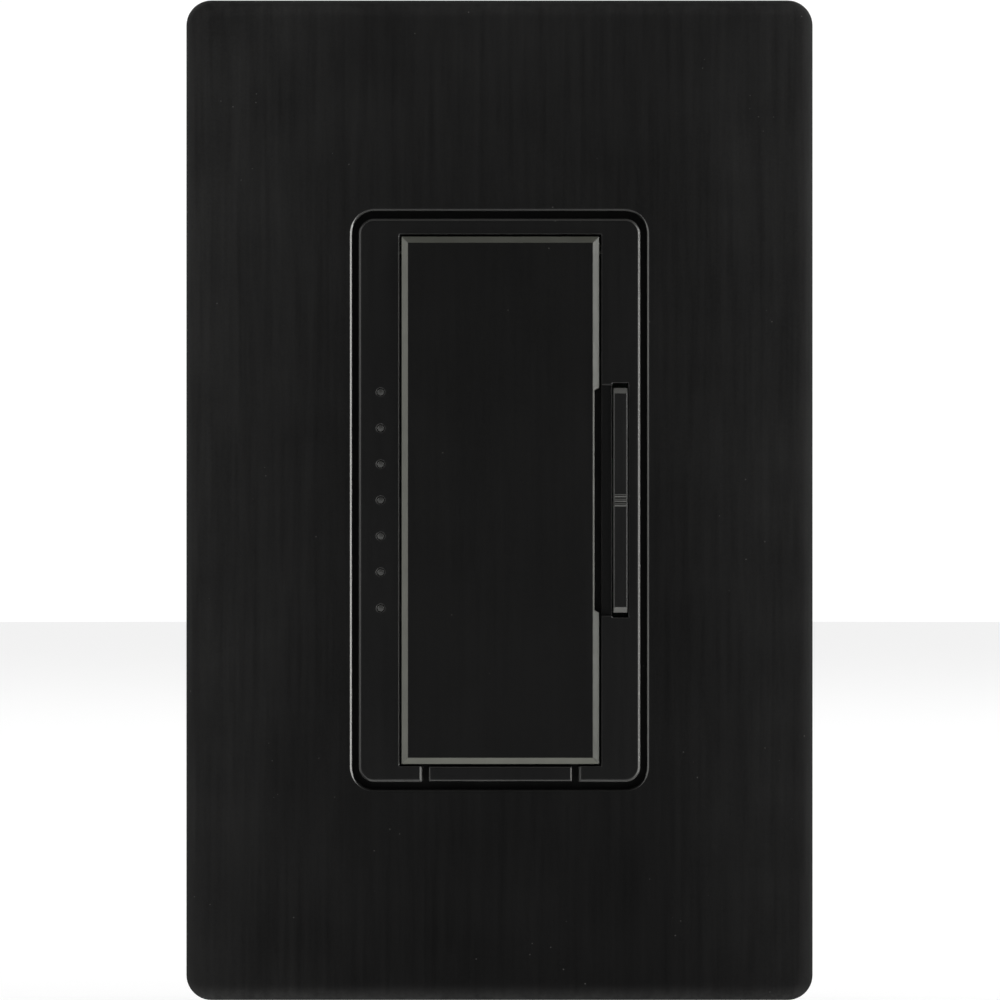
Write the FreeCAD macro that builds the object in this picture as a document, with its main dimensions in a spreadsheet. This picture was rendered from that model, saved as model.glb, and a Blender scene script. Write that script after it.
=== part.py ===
import FreeCAD, Part
import math
import os
import re
import Sketcher

# A wall-mounted touch dimmer behind a screwless press-on wallplate.
# X runs to the right as the user faces it, Z runs up, and the front faces -Y.
# The origin is the middle of the device on the wall surface.
# "Fore" levels are distances in front of the wall: y = -fore, so they are negative behind it.

doc = FreeCAD.newDocument("wall_dimmer")
sheet = doc.addObject("Spreadsheet::Sheet", "Sizes")

driving_sizes = {
    # wallplate cover and its opening
    "plate_width": 74.6, "plate_height": 119.1, "plate_front": 7.6, "plate_wall": 1.8,
    "plate_face": 1.6, "plate_corner": 3.0, "plate_edge_round": 1.7,
    "opening_width": 35.1, "opening_height": 68.8, "opening_corner": 2.7, "opening_round": 0.35,
    "hook_width": 6.0, "hook_place": 16.0, "hook_reach": 0.55,
    # adapter frame that holds the cover
    "adapter_front": 5.2, "adapter_rear": 3.8, "adapter_lip": 0.6, "adapter_wall": 1.2,
    "adapter_play": 0.7, "adapter_opening_margin": 0.7, "adapter_boss": 3.1,
    "adapter_rib_near": 24.0, "adapter_rib_far": 25.2, "adapter_rib_half": 45.0,
    # aluminium yoke
    "yoke_front": 2.0, "yoke_rear": 0.4, "yoke_width": 44.4, "yoke_shoulder": 38.5,
    "ear_width": 24.0, "ear_reach": 52.3, "window_half": 17.2, "window_top": 17.6,
    "window_step": -27.5, "window_foot": -34.5, "window_foot_half": 10.5,
    "fin_score": 0.35, "fin_score_place": 19.6,
    # standard spacings of the box screws and of the plate screws
    "box_spacing": 83.34, "plate_spacing": 96.8, "thread_radius": 1.75, "neck_radius": 1.45,
    "screw_head_radius": 3.3, "screw_head_tall": 1.5, "box_screw_length": 19.0,
    "plate_screw_length": 4.0, "head_slot": 0.9, "head_slot_depth": 0.8,
    "slot_half": 2.1, "slot_travel": 2.2,
    # front frame of the device
    "bezel_width": 33.5, "bezel_height": 67.0, "bezel_corner": 1.8, "bezel_front": 7.8,
    "bezel_round": 0.45, "skirt_width": 42.0, "skirt_height": 74.0, "skirt_front": 3.2,
    "floor_front": 3.4,
    # tap paddle
    "paddle_width": 23.45, "paddle_height": 62.65, "paddle_centre": 0.1, "paddle_front": 9.0,
    "paddle_rear": 4.6, "paddle_chamfer": 0.75, "paddle_gap": 0.3, "paddle_wall": 1.2,
    "paddle_face": 1.4, "paddle_pin": 0.7, "paddle_pin_fore": 5.6, "paddle_pin_height": 29.9,
    "paddle_pin_reach": 1.35, "pin_play": 0.06, "notch_half": 13.45, "notch_depth": 0.54,
    "notch_slant": 0.4, "tap_height": -10.0, "post_half": 1.5, "spring_place": 7.0,
    "spring_height": -22.0, "spring_radius": 1.5, "spring_wire": 0.2, "spring_turns": 4,
    # raise and lower rocker
    "rocker_centre": 14.37, "rocker_width": 1.67, "rocker_half": 13.35, "rocker_front": 8.6,
    "rocker_rear": 4.4, "rocker_facet": 0.65, "rocker_side_edge": 0.14, "rocker_slot_play": 0.13,
    "rocker_slot_half": 13.95, "rocker_pin": 0.6, "rocker_pin_fore": 5.0, "rocker_pin_reach": 0.85,
    "rocker_foot_place": 8.0, "rocker_foot_half": 1.2, "ridge_radius": 0.16, "ridge_pitch": 0.54,
    "scoop_half": 13.75, "scoop_fore": 6.2,
    # pull-out service tab
    "tab_width": 17.0, "tab_slot_width": 18.6, "tab_top": -31.65, "tab_bottom": -33.4,
    "tab_rear": 4.4, "tab_round": 0.25, "stem_half": 4.0, "stem_top": -31.95, "stem_bottom": -33.15,
    "stem_rear": -10.75, "hook_front": -9.95, "hook_half": 1.0, "hook_top": -28.5,
    # status lights
    "light_column": -14.13, "light_pitch": 4.28, "light_radius": 0.475, "light_proud": 0.06,
    "light_rail_half": 15.0, "light_rail_thick": 1.2, "light_end": -0.25, "led_long": 1.6,
    "led_wide": 0.8, "led_tall": 0.6,
    # control board and its switches
    "control_front": -1.0, "control_rear": -2.2, "control_half": 17.3, "control_top": 16.5,
    "control_foot": -26.8, "tact_fore": 1.8, "tact_size": 6.0, "tact_narrow": 3.4,
    "plunger_fore": 3.2, "plunger_radius": 1.0, "rocker_plunger_radius": 0.78,
    "contact_gap": 0.03, "rocker_contact_gap": 0.05,
    "chip_size": 7.0, "chip_tall": 1.0,
    # power board behind it
    "power_front": -11.0, "power_rear": -12.6, "power_half": 19.2, "power_tall": 32.0,
    "power_notch": 5.0, "power_notch_tall": 4.2, "standoff_radius": 1.8, "standoff_nub": 1.1,
    "standoff_place": 12.0, "standoff_foot": -24.0, "standoff_top": 15.0,
    "header_centre": -4.0, "header_height": 0.5, "pin_pitch": 2.54, "pin_radius": 0.32,
    "header_deep": 2.5,
    # triac under the yoke
    "triac_pad": 0.25, "triac_tab": 1.3, "triac_body": 4.4, "triac_wide": 10.2,
    "triac_left": -6.0, "triac_body_long": 9.2, "triac_long": 15.9, "triac_low": 20.0,
    # choke, capacitors and the other power parts
    "choke_x": -5.0, "choke_z": -13.0, "choke_outer": 10.0, "choke_inner": 5.2, "choke_tall": 8.6,
    "choke_lift": 1.2, "wire_radius": 0.45,
    "film_left": 7.5, "film_wide": 7.0, "film_low": -21.5, "film_long": 18.0, "film_tall": 12.4,
    "can_x": 10.5, "can_z": 3.0, "can_radius": 4.0, "can_tall": 12.0,
    "varistor_radius": 4.5, "varistor_thick": 3.4, "varistor_x": 10.5, "varistor_z": 8.8,
    "rectifier_x": -9.0, "rectifier_z": 5.0, "rectifier_wide": 6.4, "rectifier_deep": 2.8,
    "rectifier_tall": 8.4, "rectifier_lift": 0.6,
    "resistor_x": -12.5, "resistor_pitch": 3.6, "resistor_foot": 17.6, "resistor_long": 10.8,
    "resistor_waist": 1.0, "resistor_end": 1.25, "resistor_lift": 1.5,
    "fuse_x": 2.0, "fuse_z": 25.0, "fuse_radius": 1.6, "fuse_long": 9.0, "fuse_lead": 3.0,
    "fuse_lift": 1.9,
    # air-gap contacts worked by the service tab
    "leaf_fore": -9.4, "leaf_thick": 0.4, "leaf_eye": 0.42, "leaf_pivot": -12.4,
    "leaf_end": 5.0, "leaf_low": -31.5, "leaf_high": -27.8,
    "button_radius": 1.5, "button_x": 3.2, "button_z": -29.6,
    # rear housing
    "housing_width": 43.4, "housing_height": 70.6, "housing_rear": 30.6, "housing_wall": 1.6,
    "housing_corner": 3.0, "housing_round": 1.4, "column_x": 17.6, "column_z": 31.2,
    "column_radius": 2.7, "column_bore": 1.3, "housing_screw": 1.25,
    "bay_front": 14.6, "bay_rear": 27.2, "bay_half": 5.6, "bay_inner": 16.5, "bay_wall": 1.5,
    "bay_floor": 18.1, "bay_place": 12.0, "terminal_head": 3.4, "terminal_shank": 1.7,
    # earth tab and its screw
    "earth_tab_x": -15.4, "earth_tab_low": -46.5, "earth_tab_high": -38.7, "earth_tab_rear": 8.6,
    "earth_tab_thick": 1.6, "earth_tab_root": -11.0, "earth_screw_place": 4.2,
    "earth_head": 3.6, "earth_head_tall": 2.0, "earth_shank": 2.0, "earth_shank_long": 4.4,
    "earth_slot": 1.0,
}
for row, (alias, number) in enumerate(driving_sizes.items(), start=1):
    sheet.set("A%d" % row, alias)
    sheet.set("B%d" % row, str(number))
    sheet.setAlias("B%d" % row, alias)
doc.recompute()

tiny = 1e-4


def refer(text):
    # a formula in size names, as an expression on the sheet
    return re.sub(r"[a-z][a-z_]+", lambda found: "Sizes." + found.group(0), str(text))


def size(alias):
    return float(sheet.get(alias))


def body_for(label):
    body = doc.addObject("PartDesign::Body", label)
    body.Label = label
    return body


def sketch_on(body, role, level):
    sketch = body.newObject("Sketcher::SketchObject", body.Name + "_outline")
    plane = [item for item in body.Origin.OriginFeatures if item.Role == role][0]
    sketch.AttachmentSupport = [(plane, "")]
    sketch.MapMode = "FlatFace"
    sketch.setExpression("AttachmentOffset.Base.z", refer(level))
    return sketch


def pin_point(sketch, curve, vertex, across, up):
    # holds one point of the sketch at formulas of the sheet
    for kind, formula in (("DistanceX", across), ("DistanceY", up)):
        index = sketch.addConstraint(Sketcher.Constraint(kind, -1, 1, curve, vertex, 1.0))
        sketch.setExpression("Constraints[%d]" % index, refer(formula))


def draw_polygon(sketch, corners):
    # a closed outline through corners given as pairs of formulas
    count = len(corners)
    start = FreeCAD.Vector(1, 1, 0)
    spots = [start + FreeCAD.Vector(index, index * index, 0) for index in range(count)]
    lines = []
    for index in range(count):
        segment = Part.LineSegment(spots[index], spots[(index + 1) % count])
        lines.append(sketch.addGeometry(segment))
    for index in range(count):
        following = lines[(index + 1) % count]
        sketch.addConstraint(Sketcher.Constraint("Coincident", lines[index], 2, following, 1))
    for line, (across, up) in zip(lines, corners):
        pin_point(sketch, line, 1, across, up)


def draw_circle(sketch, across, up, radius):
    circle = Part.Circle(FreeCAD.Vector(1, 1, 0), FreeCAD.Vector(0, 0, 1), 1.0)
    curve = sketch.addGeometry(circle)
    index = sketch.addConstraint(Sketcher.Constraint("Radius", curve, 1.0))
    sketch.setExpression("Constraints[%d]" % index, refer(radius))
    pin_point(sketch, curve, 3, across, up)


def rectangle(left, right, low, high):
    return [(left, low), (right, low), (right, high), (left, high)]


def centred(width, height, middle="0"):
    half = "(%s) / 2" % width
    tall = "(%s) / 2" % height
    return rectangle("%s - %s" % (middle, half), "%s + %s" % (middle, half), "-" + tall, tall)


def outline(body, role, level, polygons, circles):
    sketch = sketch_on(body, role, level)
    for corners in polygons:
        draw_polygon(sketch, corners)
    for across, up, radius in circles:
        draw_circle(sketch, across, up, radius)
    return sketch


def extrude(body, kind, sketch, length, reverse):
    # a pad has to add material and a pocket has to take some away
    before = body.Shape.Volume if body.Tip else 0.0
    feature = body.newObject(kind, body.Name + "_" + kind.split("::")[1])
    feature.Profile = sketch
    feature.setExpression("Length", refer(length))
    feature.Reversed = reverse
    doc.recompute()
    change = body.Shape.Volume - before
    grows = kind == "PartDesign::Pad"
    if (change > 0) != grows or abs(change) < tiny:
        raise RuntimeError("%s in %s changed nothing" % (feature.Name, body.Label))
    return feature


def pad(body, rear, front, polygons=(), circles=()):
    # grows forward from the rear level to the front level
    sketch = outline(body, "XZ_Plane", rear, polygons, circles)
    return extrude(body, "PartDesign::Pad", sketch, "%s - (%s)" % (front, rear), False)


def pocket(body, front, rear, polygons=(), circles=()):
    # cuts backward from the front level to the rear level
    sketch = outline(body, "XZ_Plane", front, polygons, circles)
    return extrude(body, "PartDesign::Pocket", sketch, "%s - (%s)" % (front, rear), False)


def side_pad(body, left, right, polygons=(), circles=()):
    # grows to the right, from outlines given as (y, z)
    sketch = outline(body, "YZ_Plane", left, polygons, circles)
    return extrude(body, "PartDesign::Pad", sketch, "%s - (%s)" % (right, left), False)


def side_pocket(body, left, right, polygons=(), circles=()):
    # cuts to the left from the right level, from outlines given as (y, z)
    sketch = outline(body, "YZ_Plane", right, polygons, circles)
    return extrude(body, "PartDesign::Pocket", sketch, "%s - (%s)" % (right, left), False)


def dress(body, kind, amount, chosen):
    # rounds or bevels the edges of the body that the chosen test picks
    base = body.Tip
    names = []
    for index, edge in enumerate(base.Shape.Edges, start=1):
        if chosen(edge):
            names.append("Edge%d" % index)
    feature = body.newObject(kind, body.Name + "_" + kind.split("::")[1])
    feature.Base = (base, names)
    feature.setExpression("Radius" if kind.endswith("Fillet") else "Size", refer(amount))
    doc.recompute()
    if not names or "Invalid" in feature.State:
        raise RuntimeError("no edges dressed on %s" % body.Label)


def rounded(body, radius, chosen):
    dress(body, "PartDesign::Fillet", radius, chosen)


def bevelled(body, amount, chosen):
    dress(body, "PartDesign::Chamfer", amount, chosen)


def runs_in_depth(edge):
    box = edge.BoundBox
    return box.XLength < tiny and box.ZLength < tiny


def at_level(edge, fore):
    box = edge.BoundBox
    return box.YLength < tiny and abs(box.YMin + fore) < tiny


def corner_test(half_width, half_height, near=0.01):
    # edges that run in depth at the four corners of a centred outline
    def chosen(edge):
        spot = edge.CenterOfMass
        across = abs(abs(spot.x) - half_width) < near
        return runs_in_depth(edge) and across and abs(abs(spot.z) - half_height) < near
    return chosen


def within(edge, half_width, half_height):
    box = edge.BoundBox
    across = max(abs(box.XMin), abs(box.XMax)) < half_width
    return across and max(abs(box.ZMin), abs(box.ZMax)) < half_height


def set_place(item, x, y, z):
    for axis, formula in (("x", x), ("y", y), ("z", z)):
        item.setExpression("Placement.Base." + axis, refer(formula))


def block(name, x, y, z, wide, deep, tall):
    # a box from its lowest corner
    item = doc.addObject("Part::Box", name)
    item.setExpression("Length", refer(wide))
    item.setExpression("Width", refer(deep))
    item.setExpression("Height", refer(tall))
    set_place(item, x, y, z)
    return item


turns = {
    "back": FreeCAD.Rotation(FreeCAD.Vector(1, 0, 0), -90),
    "right": FreeCAD.Rotation(FreeCAD.Vector(0, 1, 0), 90),
    "left": FreeCAD.Rotation(FreeCAD.Vector(0, 1, 0), -90),
    "up": FreeCAD.Rotation(),
}


def rod(name, way, x, y, z, radius, length):
    item = doc.addObject("Part::Cylinder", name)
    item.Placement.Rotation = turns[way]
    item.setExpression("Radius", refer(radius))
    item.setExpression("Height", refer(length))
    set_place(item, x, y, z)
    return item


def taper(name, way, x, y, z, first, second, length):
    item = doc.addObject("Part::Cone", name)
    item.Placement.Rotation = turns[way]
    item.setExpression("Radius1", refer(first))
    item.setExpression("Radius2", refer(second))
    item.setExpression("Height", refer(length))
    set_place(item, x, y, z)
    return item


def join(label, pieces):
    item = doc.addObject("Part::MultiFuse", label)
    item.Shapes = pieces
    item.Label = label
    return item


def group(label, pieces):
    # separate solids kept together as one sub-part
    item = doc.addObject("Part::Compound", label)
    item.Links = pieces
    item.Label = label
    return item


def take(label, base, tool):
    item = doc.addObject("Part::Cut", label)
    item.Base = base
    item.Tool = tool
    item.Label = label
    return item


# ---- wallplate ----

def make_cover():
    body = body_for("wallplate_cover")
    pad(body, "0", "plate_front", [centred("plate_width", "plate_height")])
    rounded(body, "plate_corner", corner_test(size("plate_width") / 2, size("plate_height") / 2))
    rounded(body, "plate_edge_round", lambda edge: at_level(edge, size("plate_front")))
    inside = centred("plate_width - 2 * plate_wall", "plate_height - 2 * plate_wall")
    pocket(body, "plate_front - plate_face", "0", [inside])
    half_width = size("plate_width") / 2 - size("plate_wall")
    half_height = size("plate_height") / 2 - size("plate_wall")
    rounded(body, "plate_corner - plate_wall", corner_test(half_width, half_height))
    pocket(body, "plate_front", "0", [centred("opening_width", "opening_height")])
    half_width = size("opening_width") / 2
    half_height = size("opening_height") / 2
    rounded(body, "opening_corner", corner_test(half_width, half_height))
    rounded(body, "opening_round", lambda edge: at_level(edge, size("plate_front"))
            and within(edge, half_width + 1, half_height + 1))
    # four snap hooks on the upper and lower walls
    wall = "(plate_height / 2 - plate_wall)"
    tip = "(plate_height / 2 - plate_wall - hook_reach)"
    hooks = []
    for sign in ("", "-"):
        hooks.append([("-3.4", sign + wall), ("-1.3", sign + wall), ("-1.3", sign + tip),
                      ("-1.9", sign + tip)])
    for side in ("hook_place", "-hook_place"):
        side_pad(body, side + " - hook_width / 2", side + " + hook_width / 2", hooks)
    return body


def make_adapter():
    body = body_for("wallplate_adapter")
    width = "plate_width - 2 * plate_wall - 2 * adapter_play"
    height = "plate_height - 2 * plate_wall - 2 * adapter_play"
    pad(body, "adapter_lip", "adapter_front", [centred(width, height)])
    half_width = size("plate_width") / 2 - size("plate_wall") - size("adapter_play")
    half_height = size("plate_height") / 2 - size("plate_wall") - size("adapter_play")
    rounded(body, "1.2", corner_test(half_width, half_height))
    inner = centred(width + " - 2 * adapter_wall", height + " - 2 * adapter_wall")
    pocket(body, "adapter_rear", "adapter_lip", [inner])
    hole = centred("opening_width + 2 * adapter_opening_margin",
                   "opening_height + 2 * adapter_opening_margin")
    pocket(body, "adapter_front", "adapter_rear", [hole])
    ends = ("plate_spacing / 2", "-plate_spacing / 2")
    pad(body, "yoke_front", "adapter_rear", [], [("0", end, "adapter_boss") for end in ends])
    bores = [("0", end, "thread_radius + 0.1") for end in ends]
    pocket(body, "adapter_front", "yoke_front", [], bores)
    # countersinks, flush with the front of the frame
    bevelled(body, "screw_head_radius - thread_radius - 0.1",
             lambda edge: at_level(edge, size("adapter_front"))
             and within(edge, size("screw_head_radius"), half_height)
             and edge.BoundBox.ZLength < 4)
    # stiffening ribs beside the opening
    ribs = []
    for side in ("", "-"):
        ribs.append(rectangle(side + "adapter_rib_near", side + "adapter_rib_far",
                              "-adapter_rib_half", "adapter_rib_half"))
    pad(body, "adapter_rear - 1.0", "adapter_rear", ribs)
    return body


def make_plate_screws():
    pieces = []
    for sign in ("", "-"):
        z = sign + "plate_spacing / 2"
        head = taper("PlateHead", "back", "0", "-adapter_front", z, "screw_head_radius - 0.02",
                     "thread_radius - 0.07", "screw_head_radius - thread_radius + 0.05")
        shank = rod("PlateShank", "back", "0", "-adapter_front", z, "thread_radius - 0.05",
                    "adapter_front + plate_screw_length")
        slot = block("PlateSlot", "-screw_head_radius", "-adapter_front", z + " - head_slot / 2",
                     "2 * screw_head_radius", "head_slot_depth", "head_slot")
        pieces.append(take("PlateScrew", join("PlateScrewSolid", [head, shank]), slot))
    return group("adapter_screws", pieces)


# ---- yoke ----

def make_yoke():
    body = body_for("yoke")
    half = "yoke_width / 2"
    ear = "ear_width / 2"
    corners = []
    for across, up in ((1, 1), (-1, 1), (-1, -1), (1, -1)):
        side = "" if across > 0 else "-"
        end = "" if up > 0 else "-"
        run = [(side + half, end + "yoke_shoulder"), (side + ear, end + "yoke_shoulder"),
               (side + ear, end + "ear_reach")]
        corners.extend(run if across * up > 0 else reversed(run))
    pad(body, "yoke_rear", "yoke_front", [corners])
    rounded(body, "2.5", lambda edge: runs_in_depth(edge))
    window = [("-window_half", "window_top"), ("-window_half", "window_step"),
              ("-window_foot_half", "window_step"), ("-window_foot_half", "window_foot"),
              ("window_foot_half", "window_foot"), ("window_foot_half", "window_step"),
              ("window_half", "window_step"), ("window_half", "window_top")]
    slots = []
    for sign in ("", "-"):
        low = sign + "box_spacing / 2 - slot_half"
        high = sign + "box_spacing / 2 + slot_half"
        slots.append(rectangle("-slot_half - slot_travel", "slot_half + slot_travel", low, high))
    pocket(body, "yoke_front", "yoke_rear", [window] + slots)
    rounded(body, "slot_half - 0.05", lambda edge: runs_in_depth(edge)
            and within(edge, size("slot_half") + size("slot_travel") + 0.1, 45)
            and abs(edge.CenterOfMass.z) > size("yoke_shoulder"))
    holes = []
    for sign in ("", "-"):
        holes.append(("0", sign + "plate_spacing / 2", "thread_radius"))
        for side in ("", "-"):
            holes.append((side + "column_x", sign + "column_z", "housing_screw + 0.02"))
    holes.append(("triac_left + triac_long - 2.9", "triac_low + triac_wide / 2", "1.52"))
    pocket(body, "yoke_front", "yoke_rear", [], holes)
    # score lines where the side fins break off for ganged boxes
    scores = []
    for side in ("", "-"):
        middle = side + "fin_score_place"
        scores.append(rectangle(middle + " - 0.3", middle + " + 0.3", "-26.0", "26.0"))
    pocket(body, "yoke_front", "yoke_front - fin_score", scores)
    # bent tab for the earth screw
    pad(body, "-earth_tab_rear", "yoke_rear + 0.2",
        [rectangle("earth_tab_x - earth_tab_thick", "earth_tab_x", "earth_tab_low",
                   "earth_tab_high")])
    pad(body, "yoke_rear", "yoke_front",
        [rectangle("earth_tab_x - earth_tab_thick", "earth_tab_root", "earth_tab_low",
                   "earth_tab_high")])
    middle = "(earth_tab_low + earth_tab_high) / 2"
    side_pocket(body, "earth_tab_x - 2", "earth_tab_x + 0.5", [],
                [("earth_tab_rear - earth_screw_place", middle, "earth_shank + 0.02")])
    return body


def make_box_screws():
    pieces = []
    for sign in ("", "-"):
        z = sign + "box_spacing / 2"
        head = rod("BoxHead", "back", "0", "-yoke_front - screw_head_tall", z,
                   "screw_head_radius", "screw_head_tall")
        neck = rod("BoxNeck", "back", "0", "-yoke_front", z, "neck_radius", "yoke_front + 0.4")
        thread = rod("BoxThread", "back", "0", "0.3", z, "thread_radius", "box_screw_length - 1.1")
        point = taper("BoxPoint", "back", "0", "box_screw_length - 0.8", z, "thread_radius",
                      "thread_radius - 0.7", "0.8")
        slot = block("BoxSlot", "-screw_head_radius", "-yoke_front - screw_head_tall",
                     z + " - head_slot / 2", "2 * screw_head_radius", "head_slot_depth",
                     "head_slot")
        solid = join("BoxScrewSolid", [head, neck, thread, point])
        pieces.append(take("BoxScrew", solid, slot))
    return group("mounting_screws", pieces)


def make_earth_screw():
    y = "earth_tab_rear - earth_screw_place"
    z = "(earth_tab_low + earth_tab_high) / 2"
    outer = "earth_tab_x - earth_tab_thick"
    head = rod("EarthHead", "left", outer, y, z, "earth_head", "earth_head_tall")
    shank = rod("EarthShank", "right", outer, y, z, "earth_shank", "earth_shank_long")
    slot = block("EarthSlot", outer + " - earth_head_tall", y + " - earth_head",
                 z + " - earth_slot / 2", "earth_slot", "2 * earth_head", "earth_slot")
    return take("earth_screw", join("EarthSolid", [head, shank]), slot)


# ---- front frame, paddle, rocker and tab ----

def make_bezel():
    body = body_for("bezel")
    pad(body, "yoke_front", "skirt_front", [centred("skirt_width", "skirt_height")])
    rounded(body, "3", corner_test(size("skirt_width") / 2, size("skirt_height") / 2))
    pad(body, "skirt_front", "bezel_front", [centred("bezel_width", "bezel_height")])
    rounded(body, "bezel_corner", corner_test(size("bezel_width") / 2, size("bezel_height") / 2))
    left = "paddle_centre - paddle_width / 2 - paddle_gap"
    right = "paddle_centre + paddle_width / 2 + paddle_gap"
    end = "(paddle_height / 2 + paddle_gap)"
    pocket(body, "bezel_front", "floor_front", [rectangle(left, right, "-" + end, end)])
    # slot of the service tab, open at the lower edge of the frame
    slot_left = "paddle_centre - tab_slot_width / 2"
    slot_right = "paddle_centre + tab_slot_width / 2"
    lower = "-bezel_height / 2 - 0.2"
    pocket(body, "bezel_front", "skirt_front",
           [rectangle(slot_left, slot_right, lower, "-" + end + " + 0.1")])
    pocket(body, "floor_front", "yoke_front",
           [rectangle("-stem_half - 0.3", "stem_half + 0.3", "stem_bottom - 0.3", "stem_top + 0.3")])
    rounded(body, "bezel_round", lambda edge: at_level(edge, size("bezel_front"))
            and not within(edge, size("bezel_width") / 2 - 0.3, size("bezel_height") / 2 - 0.3))
    # finger scoop between the paddle and the rocker
    slot_side = "rocker_centre - rocker_width / 2 - rocker_slot_play"
    pocket(body, "bezel_front", "scoop_fore",
           [rectangle(right + " - 0.1", slot_side + " + 0.1", "-scoop_half", "scoop_half")])
    pocket(body, "bezel_front", "yoke_front",
           [rectangle(slot_side, "rocker_centre + rocker_width / 2 + rocker_slot_play",
                      "-rocker_slot_half", "rocker_slot_half")])
    # bearings of the rocker and of the paddle
    side_pocket(body, "rocker_centre - rocker_width / 2 - rocker_pin_reach - 0.05",
                "rocker_centre + rocker_width / 2 + rocker_pin_reach + 0.05", [],
                [("-rocker_pin_fore", "0", "rocker_pin + pin_play")])
    reach = " + paddle_gap + paddle_pin_reach + 0.1"
    for far, near in (("paddle_centre - paddle_width / 2 - (paddle_pin_reach + paddle_gap + 0.1)",
                       left + " + 0.1"),
                      (right + " - 0.1", "paddle_centre + paddle_width / 2" + reach)):
        side_pocket(body, far, near, [],
                    [("-paddle_pin_fore", "paddle_pin_height", "paddle_pin + pin_play")])
    # passages for the lights and for the paddle's post
    lights = [("light_column", "%d * light_pitch" % step, "light_radius + 0.03")
              for step in range(-3, 4)]
    pocket(body, "bezel_front", "yoke_front", [], lights)
    pocket(body, "floor_front", "yoke_front", [], [("0", "tap_height", "post_half + 1.0")])
    return body


def make_paddle():
    body = body_for("tap_paddle")
    half_height = "paddle_height / 2"
    left = "paddle_centre - paddle_width / 2"
    right = "paddle_centre + paddle_width / 2"
    pad(body, "paddle_rear", "paddle_front", [rectangle(left, right, "-" + half_height, half_height)])
    bevelled(body, "paddle_chamfer", lambda edge: at_level(edge, size("paddle_front")))
    inner = rectangle(left + " + paddle_wall", right + " - paddle_wall",
                      "-paddle_height / 2 + paddle_wall", "paddle_height / 2 - paddle_wall")
    pocket(body, "paddle_front - paddle_face", "paddle_rear", [inner])
    # finger notch in the right edge, beside the rocker
    notch = [(right + " - notch_depth", "notch_half - notch_slant"),
             (right + " + 0.2", "notch_half"), (right + " + 0.2", "-notch_half"),
             (right + " - notch_depth", "-notch_half + notch_slant")]
    pocket(body, "paddle_front", "paddle_rear", [notch])
    # pivots near the top edge
    spot = [("-paddle_pin_fore", "paddle_pin_height", "paddle_pin")]
    side_pad(body, left + " - paddle_pin_reach", left + " + 0.6", [], spot)
    side_pad(body, right + " - 0.6", right + " + paddle_pin_reach", [], spot)
    # post over the tap switch, and stiffening ribs beside it
    rear = "plunger_fore + contact_gap"
    post = rectangle("-post_half", "post_half", "tap_height - post_half", "tap_height + post_half")
    pad(body, rear, "paddle_front - paddle_face + 0.1", [post])
    ribs = [rectangle(left + " + 0.5", right + " - 0.5", "%s - 0.5" % level, "%s + 0.5" % level)
            for level in ("12.0", "-27.0", "(tap_height)")]
    pad(body, "paddle_front - paddle_face - 1.6", "paddle_front - paddle_face + 0.1", ribs)
    # studs that hold the return springs
    studs = [(side + "spring_place", "spring_height", "spring_radius - spring_wire - 0.1")
             for side in ("", "-")]
    pad(body, "paddle_front - paddle_face - 1.4", "paddle_front - paddle_face + 0.1", [], studs)
    return body


def make_springs():
    # two small coils between the paddle and the floor of the frame
    rear = -size("floor_front") - size("spring_wire") - 0.02
    front = -(size("paddle_front") - size("paddle_face")) + size("spring_wire") + 0.02
    radius = size("spring_radius")
    steps = 8
    count = int(size("spring_turns")) * steps
    vector = FreeCAD.Vector
    spots = []
    for index in range(count + 1):
        angle = 2 * math.pi * index / steps
        level = front + (rear - front) * index / count
        spots.append(vector(radius * math.cos(angle), level, radius * math.sin(angle)))
    arcs = []
    for index in range(0, count, 2):
        arcs.append(Part.Arc(*spots[index:index + 3]).toShape())
    circle = Part.Circle(spots[0], vector(0, 0, 1), size("spring_wire"))
    coil = Part.Wire(arcs).makePipeShell([Part.Wire(circle.toShape())], True, True)
    coils = []
    for side in (-1, 1):
        spring = coil.copy()
        spring.translate(vector(side * size("spring_place"), 0, size("spring_height")))
        coils.append(spring)
    item = doc.addObject("Part::Feature", "paddle_springs")
    item.Label = "paddle_springs"
    item.Shape = Part.makeCompound(coils)
    return item


def make_rocker():
    body = body_for("dimming_rocker")
    left = "rocker_centre - rocker_width / 2"
    right = "rocker_centre + rocker_width / 2"
    pad(body, "rocker_rear", "rocker_front", [rectangle(left, right, "-rocker_half", "rocker_half")])
    bevelled(body, "rocker_facet", lambda edge: at_level(edge, size("rocker_front"))
             and edge.BoundBox.ZLength < tiny)
    bevelled(body, "rocker_side_edge", lambda edge: at_level(edge, size("rocker_front"))
             and edge.BoundBox.XLength < tiny)
    feet = []
    for sign in ("", "-"):
        foot = sign + "rocker_foot_place"
        feet.append(rectangle(left, right, foot + " - rocker_foot_half",
                              foot + " + rocker_foot_half"))
    pad(body, "plunger_fore + rocker_contact_gap", "rocker_rear + 0.1", feet)
    side_pad(body, left + " - rocker_pin_reach", right + " + rocker_pin_reach", [],
             [("-rocker_pin_fore", "0", "rocker_pin")])
    ridges = [("-rocker_front", "%d * ridge_pitch" % step, "ridge_radius") for step in (-1, 0, 1)]
    side_pad(body, left + " + 0.12", right + " - 0.12", [], ridges)
    return body


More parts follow.
